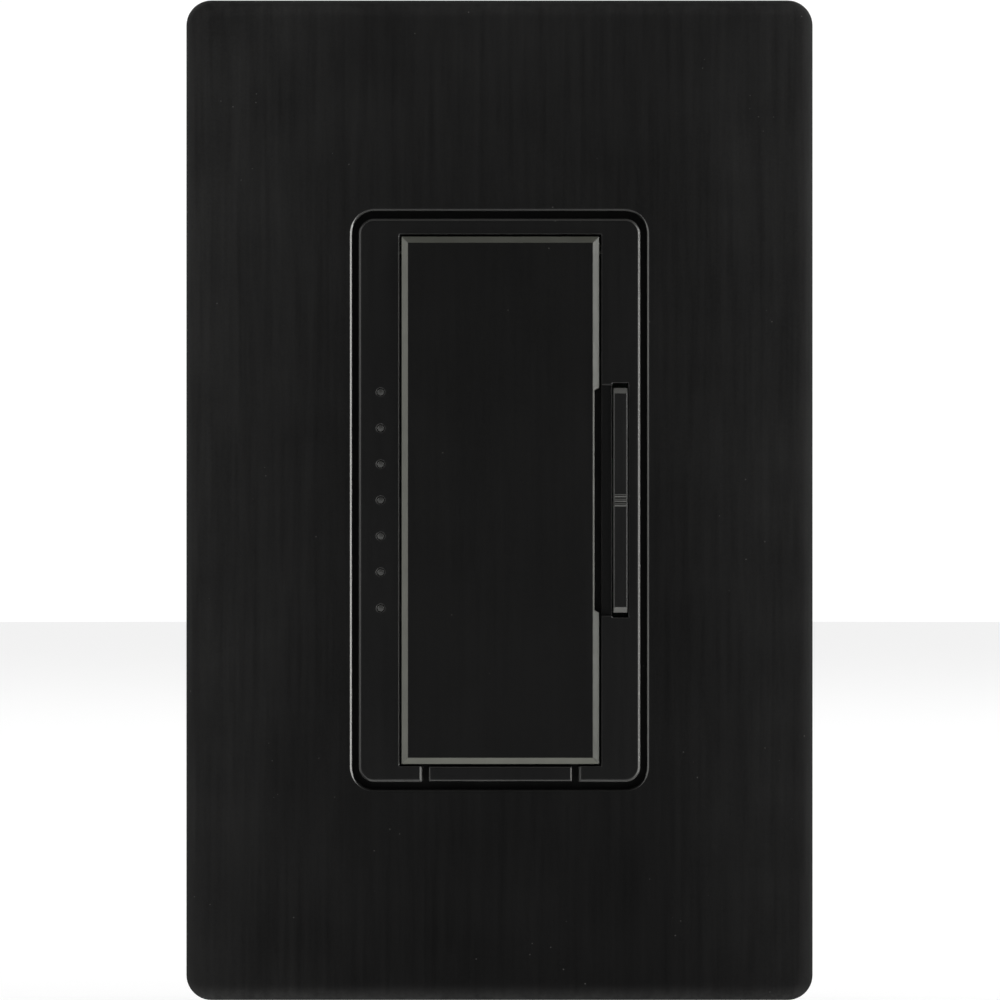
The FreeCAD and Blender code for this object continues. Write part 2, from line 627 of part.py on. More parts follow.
def make_tab():
    body = body_for("service_tab")
    pad(body, "tab_rear", "bezel_front",
        [rectangle("paddle_centre - tab_width / 2", "paddle_centre + tab_width / 2", "tab_bottom",
                   "tab_top")])
    rounded(body, "tab_round", lambda edge: at_level(edge, size("bezel_front")))
    pad(body, "stem_rear", "tab_rear + 0.2",
        [rectangle("-stem_half", "stem_half", "stem_bottom", "stem_top")])
    pad(body, "stem_rear", "hook_front",
        [rectangle("-hook_half", "hook_half", "stem_bottom + 0.3", "hook_top")])
    # nail groove across the underside of the grip
    groove = [("-bezel_front + 1.1", "tab_bottom - 0.1"), ("-bezel_front + 1.9", "tab_bottom - 0.1"),
              ("-bezel_front + 1.5", "tab_bottom + 0.35")]
    side_pocket(body, "paddle_centre - tab_width / 2 - 0.1", "paddle_centre + tab_width / 2 + 0.1",
                [groove])
    return body


def make_light_pipe():
    rail = block("LightRail", "light_column - 1.1", "-yoke_front", "-light_rail_half", "2.2",
                 "light_rail_thick", "2 * light_rail_half")
    pieces = [rail]
    for step in range(-3, 4):
        z = "%d * light_pitch" % step
        finger = rod("LightFinger", "back", "light_column", "-bezel_front - light_proud + 0.2", z,
                     "light_radius", "bezel_front + light_proud - light_end - 0.2")
        tip = taper("LightTip", "back", "light_column", "-bezel_front - light_proud", z,
                    "light_radius * 0.62", "light_radius", "0.2")
        pieces.extend([finger, tip])
    return join("light_pipe", pieces)


# ---- control board ----

def standoff_spots():
    spots = []
    for side in ("", "-"):
        for height in ("standoff_top", "standoff_foot"):
            spots.append((side + "standoff_place", height))
    return spots


def pin_spots():
    return [("header_centre + %.1f * pin_pitch" % (step - 3.5), "header_height")
            for step in range(8)]


def board_holes():
    holes = [(x, z, "standoff_nub + 0.04") for x, z in standoff_spots()]
    holes.extend((x, z, "pin_radius + 0.08") for x, z in pin_spots())
    return holes


def make_control_board():
    body = body_for("control_board")
    pad(body, "control_rear", "control_front",
        [rectangle("-control_half", "control_half", "control_foot", "control_top")], board_holes())
    return body


def make_leds():
    pieces = []
    for step in range(-3, 4):
        pieces.append(block("Led", "light_column - led_long / 2", "-control_front - led_tall",
                            "%d * light_pitch - led_wide / 2" % step, "led_long", "led_tall",
                            "led_wide"))
    return group("status_leds", pieces)


def make_chip():
    legs = []
    for index in range(8):
        offset = "%.2f" % ((index - 3.5) * 0.8)
        legs.append(block("ChipLegRow", "-6.0 - chip_size / 2 - 0.8", "-control_rear + 0.05",
                          "9.0 + %s - 0.17" % offset, "chip_size + 1.6", "0.2", "0.34"))
        legs.append(block("ChipLegColumn", "-6.0 + %s - 0.17" % offset, "-control_rear + 0.05",
                          "9.0 - chip_size / 2 - 0.8", "0.34", "0.2", "chip_size + 1.6"))
    case = block("ChipCase", "-6.0 - chip_size / 2", "-control_rear", "9.0 - chip_size / 2",
                 "chip_size", "chip_tall", "chip_size")
    return join("microcontroller", legs + [case])


def make_tap_switch():
    case = block("TapCase", "-tact_size / 2", "-tact_fore", "tap_height - tact_size / 2",
                 "tact_size", "tact_fore - control_front", "tact_size")
    bore = rod("TapBore", "back", "0", "-tact_fore", "tap_height", "plunger_radius + 0.1", "1.8")
    return take("tap_switch_case", case, bore)


def make_rocker_switches():
    pieces = []
    for sign in ("", "-"):
        z = sign + "rocker_foot_place"
        case = block("RockerCase", "rocker_centre - tact_narrow / 2", "-tact_fore",
                     z + " - tact_size / 2", "tact_narrow", "tact_fore - control_front",
                     "tact_size")
        bore = rod("RockerBore", "back", "rocker_centre", "-tact_fore", z,
                   "rocker_plunger_radius + 0.1", "1.8")
        pieces.append(take("RockerSwitch", case, bore))
    return group("rocker_switch_cases", pieces)


def make_plunger(label, x, z, radius):
    item = rod(label, "back", x, "-plunger_fore", z, radius, "plunger_fore - 0.6")
    item.Label = label
    return item


def make_header():
    strip = block("HeaderStrip", "header_centre - 4 * pin_pitch", "-control_rear",
                  "header_height - 1.25", "8 * pin_pitch", "header_deep", "2.5")
    bores = [rod("HeaderBore", "back", x, "-control_rear", z, "pin_radius + 0.02", "header_deep")
             for x, z in pin_spots()]
    return take("header_strip", strip, join("HeaderBores", bores))


def make_header_pins():
    pins = [rod("HeaderPin", "back", x, "-control_front - 0.5", z, "pin_radius",
                "control_front - power_rear + 1.2") for x, z in pin_spots()]
    return group("header_pins", pins)


def make_standoffs():
    pieces = []
    for x, z in standoff_spots():
        post = rod("StandoffPost", "back", x, "-control_rear", z, "standoff_radius",
                   "control_rear - power_front")
        nub = rod("StandoffNub", "back", x, "-control_front - 0.5", z, "standoff_nub",
                  "control_front - power_rear + 1.0")
        pieces.append(join("Standoff", [post, nub]))
    return group("board_standoffs", pieces)


# ---- power board ----

def make_power_board():
    body = body_for("power_board")
    half = "power_half"
    tall = "power_tall"
    inner = "power_half - power_notch"
    low = "power_tall - power_notch_tall"
    corners = []
    for across, up in ((1, 1), (-1, 1), (-1, -1), (1, -1)):
        side = "" if across > 0 else "-1 * "
        end = "" if up > 0 else "-1 * "
        run = [("%s(%s)" % (side, half), "%s(%s)" % (end, low)),
               ("%s(%s)" % (side, inner), "%s(%s)" % (end, low)),
               ("%s(%s)" % (side, inner), "%s(%s)" % (end, tall))]
        corners.extend(run if across * up > 0 else reversed(run))
    pad(body, "power_rear", "power_front", [corners], board_holes())
    return body


def make_triac():
    y = "triac_pad - yoke_rear"
    tab = block("TriacTab", "triac_left", y, "triac_low", "triac_long", "triac_tab", "triac_wide")
    case = block("TriacCase", "triac_left", y, "triac_low", "triac_body_long", "triac_body",
                 "triac_wide")
    pieces = [tab, case]
    for step in (-1, 0, 1):
        z = "triac_low + triac_wide / 2 + %d * pin_pitch - 0.4" % step
        pieces.append(block("TriacLeadOut", "triac_left - 1.9", "2.0", z, "2.1", "0.5", "0.8"))
        pieces.append(block("TriacLeadBack", "triac_left - 2.2", "2.0", z, "0.5",
                            "-power_front - 2.0", "0.8"))
    hole = rod("TriacHole", "back", "triac_left + triac_long - 2.9", y,
               "triac_low + triac_wide / 2", "1.8", "triac_tab")
    return take("triac", join("TriacSolid", pieces), hole)


def make_triac_pad():
    sheet_piece = block("PadSheet", "triac_left - 0.8", "-yoke_rear", "triac_low - 0.8",
                        "triac_long + 1.6", "triac_pad", "triac_wide + 1.6")
    hole = rod("PadHole", "back", "triac_left + triac_long - 2.9", "-yoke_rear",
               "triac_low + triac_wide / 2", "1.7", "triac_pad")
    return take("triac_pad", sheet_piece, hole)


def make_triac_screw():
    x = "triac_left + triac_long - 2.9"
    z = "triac_low + triac_wide / 2"
    top = "triac_pad - yoke_rear + triac_tab"
    head = rod("TriacScrewHead", "back", x, top, z, "2.8", "1.8")
    shank = rod("TriacScrewShank", "back", x, "-yoke_front + 0.1", z, "1.5",
                "yoke_front - 0.1 + (%s)" % top)
    slot = block("TriacScrewSlot", x + " - 2.8", top + " + 1.0", z + " - 0.4", "5.6", "0.8", "0.8")
    return take("triac_screw", join("TriacScrewSolid", [head, shank]), slot)


def make_choke_core():
    y = "-power_rear + choke_lift"
    ring = rod("CoreRing", "back", "choke_x", y, "choke_z", "choke_outer", "choke_tall")
    bore = rod("CoreBore", "back", "choke_x", y, "choke_z", "choke_inner", "choke_tall")
    return take("choke_core", ring, bore)


def make_choke_winding():
    # one rounded rectangular turn of wire, repeated round the core
    wire = size("wire_radius")
    gap = wire + 0.06
    near = size("choke_inner") - gap
    far = size("choke_outer") + gap
    low = -size("power_rear") + size("choke_lift") - gap
    high = low + size("choke_tall") + 2 * gap
    bend = 0.55
    vector = FreeCAD.Vector
    edges = []
    corners = ((far - bend, high - bend, 0), (near + bend, high - bend, 90),
               (near + bend, low + bend, 180), (far - bend, low + bend, 270))
    ends = []
    for x, y, start in corners:
        circle = Part.Circle(vector(x, y, 0), vector(0, 0, 1), bend)
        arc = Part.ArcOfCircle(circle, math.radians(start), math.radians(start + 90))
        ends.append((arc.StartPoint, arc.EndPoint, arc.toShape()))
    for index, (first, last, arc) in enumerate(ends):
        edges.append(arc)
        edges.append(Part.LineSegment(last, ends[(index + 1) % 4][0]).toShape())
    path = Part.Wire(edges)
    start = ends[0][0]
    section = Part.Wire(Part.Circle(start, vector(0, 1, 0), wire).toShape())
    turn = path.makePipeShell([section], True, False)
    centre = vector(size("choke_x"), 0, size("choke_z"))
    loops = []
    turn_count = 22
    for index in range(turn_count):
        loop = turn.copy()
        loop.rotate(vector(), vector(0, 1, 0), 20 + index * 320 / (turn_count - 1))
        loop.translate(centre)
        loops.append(loop)
    item = doc.addObject("Part::Feature", "choke_winding")
    item.Label = "choke_winding"
    item.Shape = Part.makeCompound(loops)
    return item


def make_film_capacitor():
    body = body_for("film_capacitor")
    pad(body, "power_rear - film_tall", "power_rear",
        [rectangle("film_left", "film_left + film_wide", "film_low", "film_low + film_long")])
    rounded(body, "0.8", lambda edge: not at_level(edge, size("power_rear")))
    return body


def make_can_capacitor():
    body = body_for("can_capacitor")
    pad(body, "power_rear - can_tall", "power_rear", [], [("can_x", "can_z", "can_radius")])
    rounded(body, "0.6", lambda edge: at_level(edge, size("power_rear") - size("can_tall")))
    # rolled bead near the foot of the can
    bead = doc.addObject("Part::Torus", "CanBead")
    bead.Placement.Rotation = turns["back"]
    bead.setExpression("Radius1", refer("can_radius + 0.25"))
    bead.setExpression("Radius2", "0.55")
    set_place(bead, "can_x", "-power_rear + 1.8", "can_z")
    body.Label = "can_capacitor_solid"
    return take("can_capacitor", body, bead)


def make_varistor():
    y = "-power_rear + varistor_radius + 1.0"
    disc = rod("VaristorDisc", "up", "varistor_x", y, "varistor_z", "varistor_radius",
               "varistor_thick")
    pieces = [disc]
    for side in (-1, 1):
        pieces.append(rod("VaristorLead", "back", "varistor_x + %d * 2.5" % side, "-power_rear",
                          "varistor_z + varistor_thick / 2", "0.35", "4.0"))
    return join("varistor", pieces)


def make_rectifier():
    case = block("RectifierCase", "rectifier_x", "-power_rear + rectifier_lift", "rectifier_z",
                 "rectifier_wide", "rectifier_deep", "rectifier_tall")
    legs = []
    for x in ("rectifier_x - 0.6", "rectifier_x + rectifier_wide - 0.3"):
        for z in ("rectifier_z + 1.4", "rectifier_z + rectifier_tall - 2.0"):
            legs.append(block("RectifierLeg", x, "-power_rear", z, "0.5", "2.2", "0.9"))
            legs.append(block("RectifierKnee", x, "-power_rear + 1.9", z, "0.7", "0.3", "0.9"))
    return join("rectifier", [case] + legs)


def make_resistors():
    pieces = []
    y = "-power_rear + resistor_lift"
    for step in range(3):
        x = "resistor_x + %d * resistor_pitch" % step
        middle = rod("ResistorWaist", "up", x, y, "resistor_foot + 2.4", "resistor_waist",
                     "resistor_long - 4.8")
        ends = [rod("ResistorEnd", "up", x, y, z, "resistor_end", "1.6")
                for z in ("resistor_foot + 2.0", "resistor_foot + resistor_long - 3.6")]
        lead = rod("ResistorLead", "up", x, y, "resistor_foot", "0.32", "resistor_long")
        feet = [rod("ResistorFoot", "back", x, "-power_rear", z, "0.3", "resistor_lift")
                for z in ("resistor_foot + 0.4", "resistor_foot + resistor_long - 0.4")]
        pieces.append(join("Resistor", [middle, lead] + ends + feet))
    return group("resistors", pieces)


def make_fuse():
    # thermal fuse laid across the top of the power board
    y = "-power_rear + fuse_lift"
    case = rod("FuseCase", "right", "fuse_x", y, "fuse_z", "fuse_radius", "fuse_long")
    lead = rod("FuseLead", "right", "fuse_x - fuse_lead", y, "fuse_z", "0.35",
               "fuse_long + 2 * fuse_lead")
    feet = [rod("FuseFoot", "back", x, "-power_rear", "fuse_z", "0.32", "fuse_lift")
            for x in ("fuse_x - fuse_lead + 0.3", "fuse_x + fuse_long + fuse_lead - 0.3")]
    return join("thermal_fuse", [case, lead] + feet)


# ---- air gap contacts ----

def make_leaf():
    strip = block("LeafStrip", "leaf_pivot", "-leaf_fore", "leaf_low", "leaf_end - leaf_pivot",
                  "leaf_thick", "leaf_high - leaf_low")
    button = rod("LeafButton", "back", "button_x", "-leaf_fore + leaf_thick", "button_z",
                 "button_radius - 0.3", "0.5")
    # rolled eye on the axis that the leaf turns about
    eye = rod("LeafEye", "up", "leaf_pivot", "-leaf_fore + leaf_thick / 2", "leaf_low", "leaf_eye",
              "leaf_high - leaf_low")
    return join("air_gap_leaf", [strip, button, eye])


def make_leaf_post():
    foot = block("PostFoot", "leaf_pivot - 2.4", "-leaf_fore - 0.6", "leaf_low + 0.6", "1.7",
                 "leaf_fore + 0.6 - power_front", "leaf_high - leaf_low - 1.2")
    foot.Label = "leaf_post"
    return foot


def make_fixed_contact():
    button = rod("FixedButton", "back", "button_x", "-leaf_fore + leaf_thick + 0.55", "button_z",
                 "button_radius", "-power_front + leaf_fore - leaf_thick - 0.55")
    lug = block("FixedLug", "button_x - 1.0", "-power_front - 0.4", "button_z", "7.0", "0.4", "2.2")
    return join("fixed_contact", [button, lug])


# ---- rear housing ----

def bay_list():
    # side and height of each wiring terminal
    return [("-", "bay_place"), ("-", "-bay_place"), ("", "bay_place")]


def make_housing():
    body = body_for("rear_housing")
    pad(body, "-housing_rear", "yoke_rear", [centred("housing_width", "housing_height")])
    half_width = size("housing_width") / 2
    half_height = size("housing_height") / 2
    rounded(body, "housing_corner", corner_test(half_width, half_height))
    rounded(body, "housing_round", lambda edge: at_level(edge, -size("housing_rear")))
    inner = centred("housing_width - 2 * housing_wall", "housing_height - 2 * housing_wall")
    pocket(body, "yoke_rear", "-housing_rear + housing_wall", [inner])
    # screw columns in the corners
    columns = [(side + "column_x", end + "column_z", "column_radius")
               for side in ("", "-") for end in ("", "-")]
    pad(body, "-housing_rear + 1.0", "yoke_rear", [], columns)
    # walls round the wiring bays
    blocks = []
    for side, height in bay_list():
        blocks.append(rectangle(side + "bay_inner", side + "(housing_width / 2 - 0.8)",
                                height + " - bay_half", height + " + bay_half"))
    pad(body, "-bay_rear", "-bay_front", blocks)
    # ledges that carry the power board
    ledges = []
    for side in ("", "-"):
        for end in ("", "-"):
            ledges.append(rectangle(side + "8.0", side + "11.0",
                                    end + "(housing_height / 2 - housing_wall + 0.3)",
                                    end + "(housing_height / 2 - housing_wall - 3.0)"))
    pad(body, "-housing_rear + 1.0", "power_rear", ledges)
    bores = [(side + "column_x", end + "column_z", "column_bore")
             for side in ("", "-") for end in ("", "-")]
    pocket(body, "yoke_rear", "-housing_rear", [], bores)
    sinks = [(side + "column_x", end + "column_z", "2.1")
             for side in ("", "-") for end in ("", "-")]
    pocket(body, "-housing_rear + 2.4", "-housing_rear", [], sinks)
    for side, height in bay_list():
        bay = rectangle("bay_front + bay_wall", "bay_rear - bay_wall",
                        height + " - bay_half + 1.4", height + " + bay_half - 1.4")
        if side:
            side_pocket(body, "-housing_width / 2 - 1", "-bay_floor", [bay])
        else:
            side_pocket(body, "bay_floor", "housing_width / 2 + 1", [bay])
    tongues = []
    for side, height in bay_list():
        tongues.append(rectangle(side + "bay_floor", side + "(bay_floor + 1.2)",
                                 height + " - 1.7", height + " + 1.7"))
        bore = [("(bay_front + bay_rear) / 2", height, "terminal_shank + 0.15")]
        if side:
            side_pocket(body, "-bay_floor - 0.1", "-bay_inner + 0.1", [], bore)
        else:
            side_pocket(body, "bay_inner - 0.1", "bay_floor + 0.1", [], bore)
    pocket(body, "-bay_front + 0.1", "-bay_front - bay_wall - 0.1", tongues)
    # cooling slots through the rear wall
    slots = [rectangle("-9.0", "9.0", "%d * 5.0 - 0.8" % step, "%d * 5.0 + 0.8" % step)
             for step in range(-3, 4)]
    pocket(body, "-housing_rear + 2.4", "-housing_rear", slots)
    return body


def make_housing_screws():
    pieces = []
    for side in ("", "-"):
        for end in ("", "-"):
            x = side + "column_x"
            z = end + "column_z"
            shank = rod("HousingShank", "back", x, "-yoke_front + 0.2", z, "housing_screw",
                        "housing_rear + yoke_front - 2.6")
            head = rod("HousingHead", "back", x, "housing_rear - 2.4", z, "2.0", "1.5")
            cross = [block("HousingCross", x + " - 1.2", "housing_rear - 1.5", z + " - 0.25",
                           "2.4", "0.8", "0.5"),
                     block("HousingCross", x + " - 0.25", "housing_rear - 1.5", z + " - 1.2",
                           "0.5", "0.8", "2.4")]
            solid = join("HousingScrewSolid", [shank, head])
            pieces.append(take("HousingScrew", solid, join("HousingCrossPair", cross)))
    return group("housing_screws", pieces)


def make_terminal_plates():
    pieces = []
    middle = "(bay_front + bay_rear) / 2"
    for side, height in bay_list():
        left = "bay_floor + 0.05" if not side else "-bay_floor - 1.05"
        plate = block("TerminalPlate", left, middle + " - 3.9", height + " - 3.7", "1.0", "7.8", "7.4")
        tongue = block("TerminalTongue", left, "-power_rear", height + " - 1.5", "1.0",
                       middle + " + power_rear", "3.0")
        bore = rod("TerminalBore", "right", left + " - 0.1", middle, height, "terminal_shank + 0.05", "1.2")
        pieces.append(take("Terminal", join("TerminalSolid", [plate, tongue]), bore))
    return group("terminal_plates", pieces)


def make_terminal_screws():
    pieces = []
    middle = "(bay_front + bay_rear) / 2"
    for side, height in bay_list():
        out = "bay_floor + 1.05" if not side else "-bay_floor - 1.05"
        outward = "left" if side else "right"
        inward = "right" if side else "left"
        head = rod("TerminalHead", outward, out, middle, height, "terminal_head", "1.9")
        shank = rod("TerminalShank", inward, out, middle, height, "terminal_shank", "2.6")
        slot_x = "bay_floor + 2.05" if not side else "-bay_floor - 3.05"
        slot = block("TerminalSlot", slot_x, middle + " - 3.4", height + " - 0.45", "1.0", "6.8", "0.9")
        pieces.append(take("TerminalScrew", join("TerminalScrewSolid", [head, shank]), slot))
    return group("terminal_screws", pieces)


sub_parts = [
    make_cover(), make_adapter(), make_plate_screws(), make_yoke(), make_box_screws(),
    make_earth_screw(), make_bezel(), make_paddle(), make_springs(), make_rocker(), make_tab(),
    make_light_pipe(), make_control_board(), make_leds(), make_chip(), make_tap_switch(),
    make_rocker_switches(),
    make_plunger("tap_switch_plunger", "0", "tap_height", "plunger_radius"),
    make_plunger("upper_rocker_plunger", "rocker_centre", "rocker_foot_place",
                 "rocker_plunger_radius"),
    make_plunger("lower_rocker_plunger", "rocker_centre", "-rocker_foot_place",
                 "rocker_plunger_radius"),
    make_header(), make_header_pins(), make_standoffs(), make_power_board(), make_triac(),
    make_triac_pad(), make_triac_screw(), make_choke_core(), make_choke_winding(),
    make_film_capacitor(), make_can_capacitor(), make_varistor(), make_rectifier(),
    make_resistors(), make_fuse(), make_leaf(), make_leaf_post(), make_fixed_contact(),
    make_housing(), make_housing_screws(), make_terminal_plates(), make_terminal_screws(),
]
doc.recompute()

# nothing is written unless every object and every sub-part came out whole
for item in doc.Objects:
    if "Invalid" in item.State or "Error" in item.State:
        raise RuntimeError("%s failed" % item.Name)
for part in sub_parts:
    if part.Shape.isNull() or not part.Shape.isValid() or not part.Shape.Solids:
        raise RuntimeError("%s has no sound shape" % part.Label)

os.makedirs("parts", exist_ok=True)
for part in sub_parts:
    part.Shape.exportStep("parts/%s.step" % part.Label)
print("wrote %d sub-parts" % len(sub_parts))
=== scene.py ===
import bpy
import bmesh
import math
from mathutils import Vector, Matrix


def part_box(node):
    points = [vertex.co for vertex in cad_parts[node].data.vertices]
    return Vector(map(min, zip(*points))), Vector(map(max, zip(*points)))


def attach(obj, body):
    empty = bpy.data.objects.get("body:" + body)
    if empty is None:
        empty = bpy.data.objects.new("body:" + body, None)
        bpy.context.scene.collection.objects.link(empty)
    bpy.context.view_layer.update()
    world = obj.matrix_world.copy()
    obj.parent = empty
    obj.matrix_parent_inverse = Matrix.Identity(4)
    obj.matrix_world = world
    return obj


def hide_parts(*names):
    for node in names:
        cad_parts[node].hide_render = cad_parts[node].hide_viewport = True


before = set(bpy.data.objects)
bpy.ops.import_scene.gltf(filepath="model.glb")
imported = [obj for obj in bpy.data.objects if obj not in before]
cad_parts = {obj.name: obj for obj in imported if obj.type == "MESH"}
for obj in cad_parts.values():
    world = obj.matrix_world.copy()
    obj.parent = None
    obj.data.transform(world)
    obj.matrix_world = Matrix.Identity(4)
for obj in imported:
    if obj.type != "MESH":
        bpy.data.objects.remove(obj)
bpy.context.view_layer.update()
mm = 0.001


def colour(*rgb):
    return (*rgb, 1.0)


def newMaterial(name):
    mat = bpy.data.materials.new(name)
    mat.use_nodes = True
    tree = mat.node_tree
    shader = tree.nodes["Principled BSDF"]
    return mat, tree, shader


def link(tree, source, target):
    tree.links.new(source, target)


def feed(tree, socket, value):
    # a value can be a plain one or another node's output
    if isinstance(value, bpy.types.NodeSocket):
        tree.links.new(value, socket)
    else:
        socket.default_value = value


def newGroup(name, inputs, outputs):
    # inputs are name: (kind, default), outputs are name: kind
    group = bpy.data.node_groups.new(name, "ShaderNodeTree")
    for label, (kind, default) in inputs.items():
        socket = group.interface.new_socket(label, in_out="INPUT", socket_type="NodeSocket" + kind)
        socket.default_value = default
    for label, kind in outputs.items():
        group.interface.new_socket(label, in_out="OUTPUT", socket_type="NodeSocket" + kind)
    start = group.nodes.new("NodeGroupInput")
    end = group.nodes.new("NodeGroupOutput")
    return group, start.outputs, end.inputs


def placeGroup(tree, group, **settings):
    node = tree.nodes.new("ShaderNodeGroup")
    node.node_tree = group
    for label, value in settings.items():
        node.inputs[label.replace("_", " ")].default_value = value
    return node.outputs


def mathNode(tree, operation, *values):
    node = tree.nodes.new("ShaderNodeMath")
    node.operation = operation
    for socket, value in zip(node.inputs, values):
        feed(tree, socket, value)
    return node.outputs[0]


def plus(tree, first, second):
    return mathNode(tree, "ADD", first, second)


def times(tree, first, second):
    return mathNode(tree, "MULTIPLY", first, second)


def swing(tree, noise, amount):
    # noise moved to swing about zero, then scaled
    return times(tree, mathNode(tree, "SUBTRACT", noise, 0.5), amount)


def mixColour(tree, factor, first, second):
    node = tree.nodes.new("ShaderNodeMix")
    node.data_type = "RGBA"
    feed(tree, node.inputs["Factor"], factor)
    feed(tree, node.inputs["A"], first)
    feed(tree, node.inputs["B"], second)
    return node.outputs["Result"]


def scaleColour(tree, tint, amount):
    node = tree.nodes.new("ShaderNodeVectorMath")
    node.operation = "SCALE"
    link(tree, tint, node.inputs[0])
    link(tree, amount, node.inputs["Scale"])
    return node.outputs["Vector"]


def piecePlace(tree):
    return tree.nodes.new("ShaderNodeTexCoord").outputs["Object"]


def splitVector(tree, vector):
    node = tree.nodes.new("ShaderNodeSeparateXYZ")
    link(tree, vector, node.inputs["Vector"])
    return node.outputs


def noiseNode(tree, place, scale, detail=2.0, **others):
    node = tree.nodes.new("ShaderNodeTexNoise")
    feed(tree, node.inputs["Scale"], scale)
    node.inputs["Detail"].default_value = detail
    for label, value in others.items():
        node.inputs[label].default_value = value
    link(tree, place, node.inputs["Vector"])
    return node.outputs["Fac"]


def cellNode(tree, place, scale, feature="F1"):
    node = tree.nodes.new("ShaderNodeTexVoronoi")
    node.feature = feature
    feed(tree, node.inputs["Scale"], scale)
    link(tree, place, node.inputs["Vector"])
    return node.outputs["Distance"]


def rangeNode(tree, value, low, high, first=0.0, last=1.0, smooth=True):
    node = tree.nodes.new("ShaderNodeMapRange")
    node.interpolation_type = "SMOOTHSTEP" if smooth else "LINEAR"
    for label, limit in (("Value", value), ("From Min", low), ("From Max", high),
                         ("To Min", first), ("To Max", last)):
        feed(tree, node.inputs[label], limit)
    return node.outputs["Result"]


def roundedNormal(tree, width, samples):
    node = tree.nodes.new("ShaderNodeBevel")
    node.samples = samples
    link(tree, width, node.inputs["Radius"])
    return node.outputs["Normal"]


def addBump(tree, shader, height, strength, depth, normal=None):
    bump = tree.nodes.new("ShaderNodeBump")
    bump.inputs["Strength"].default_value = strength
    bump.inputs["Distance"].default_value = depth
    link(tree, height, bump.inputs["Height"])
    if normal is not None:
        link(tree, normal, bump.inputs["Normal"])
    link(tree, bump.outputs["Normal"], shader.inputs["Normal"])


def makeGrainGroup():
    # fine spark-eroded mould texture with slow colour mottling and faint upright flow streaks
    group, given, result = newGroup("mouldedGrain", {
        "Colour": ("Color", colour(0.01, 0.01, 0.01)),
        "Grain size": ("Float", 0.00022),
        "Mottle": ("Float", 0.12),
        "Streaks": ("Float", 0.06),
        "Roughness": ("Float", 0.4),
        "Roughness spread": ("Float", 0.06),
    }, {"Colour": "Color", "Roughness": "Float", "Height": "Float"})
    place = piecePlace(group)
    scale = mathNode(group, "DIVIDE", 1.0, given["Grain size"])
    grain = noiseNode(group, place, scale, 3.0, Roughness=0.6)
    pores = cellNode(group, place, times(group, scale, 0.55))
    slow = noiseNode(group, place, 90.0, 4.0)
    squeeze = group.nodes.new("ShaderNodeMapping")
    squeeze.inputs["Scale"].default_value = (1500.0, 1500.0, 60.0)
    link(group, place, squeeze.inputs["Vector"])
    streak = noiseNode(group, squeeze.outputs["Vector"], 1.0)
    shift = plus(group, swing(group, slow, given["Mottle"]), swing(group, streak, given["Streaks"]))
    shift = plus(group, shift, swing(group, grain, given["Mottle"]))
    bright = plus(group, 1.0, times(group, shift, 2.0))
    link(group, scaleColour(group, given["Colour"], bright), result["Colour"])
    spread = plus(group, swing(group, slow, given["Roughness spread"]),
                  swing(group, grain, given["Roughness spread"]))
    link(group, plus(group, given["Roughness"], spread), result["Roughness"])
    relief = plus(group, times(group, grain, 0.6), times(group, pores, 0.4))
    link(group, relief, result["Height"])
    return group


def makeEdgeGroup():
    # a mask of rubbed edges from the bend between the true and the rounded normal
    group, given, result = newGroup("edgeRub", {
        "Width": ("Float", 0.0003),
        "Strength": ("Float", 1.0),
        "Breakup": ("Float", 0.5),
    }, {"Mask": "Float", "Normal": "Vector"})
    geometry = group.nodes.new("ShaderNodeNewGeometry")
    rounded = roundedNormal(group, given["Width"], 6)
    dot = group.nodes.new("ShaderNodeVectorMath")
    dot.operation = "DOT_PRODUCT"
    link(group, geometry.outputs["Normal"], dot.inputs[0])
    link(group, rounded, dot.inputs[1])
    bend = times(group, mathNode(group, "SUBTRACT", 1.0, dot.outputs["Value"]), 4.0)
    noise = noiseNode(group, piecePlace(group), 700.0, 5.0)
    patchy = mathNode(group, "SUBTRACT", 1.0, times(group, noise, given["Breakup"]))
    mask = times(group, times(group, bend, patchy), given["Strength"])
    clamp = group.nodes.new("ShaderNodeClamp")
    link(group, mask, clamp.inputs["Value"])
    link(group, clamp.outputs["Result"], result["Mask"])
    link(group, rounded, result["Normal"])
    return group


def makeDustGroup():
    # specks of lint and faint finger haze
    group, given, result = newGroup("dustAndHaze", {
        "Amount": ("Float", 0.3),
        "Haze": ("Float", 0.1),
    }, {"Speck": "Float", "Haze": "Float"})
    place = piecePlace(group)
    dots = mathNode(group, "LESS_THAN", cellNode(group, place, 900.0), 0.07)
    sparse = mathNode(group, "GREATER_THAN", noiseNode(group, place, 160.0, 6.0), 0.6)
    link(group, times(group, times(group, dots, sparse), given["Amount"]), result["Speck"])
    smear = noiseNode(group, place, 45.0, 5.0, Distortion=1.2)
    haze = times(group, mathNode(group, "SUBTRACT", smear, 0.45), given["Haze"])
    link(group, haze, result["Haze"])
    return group


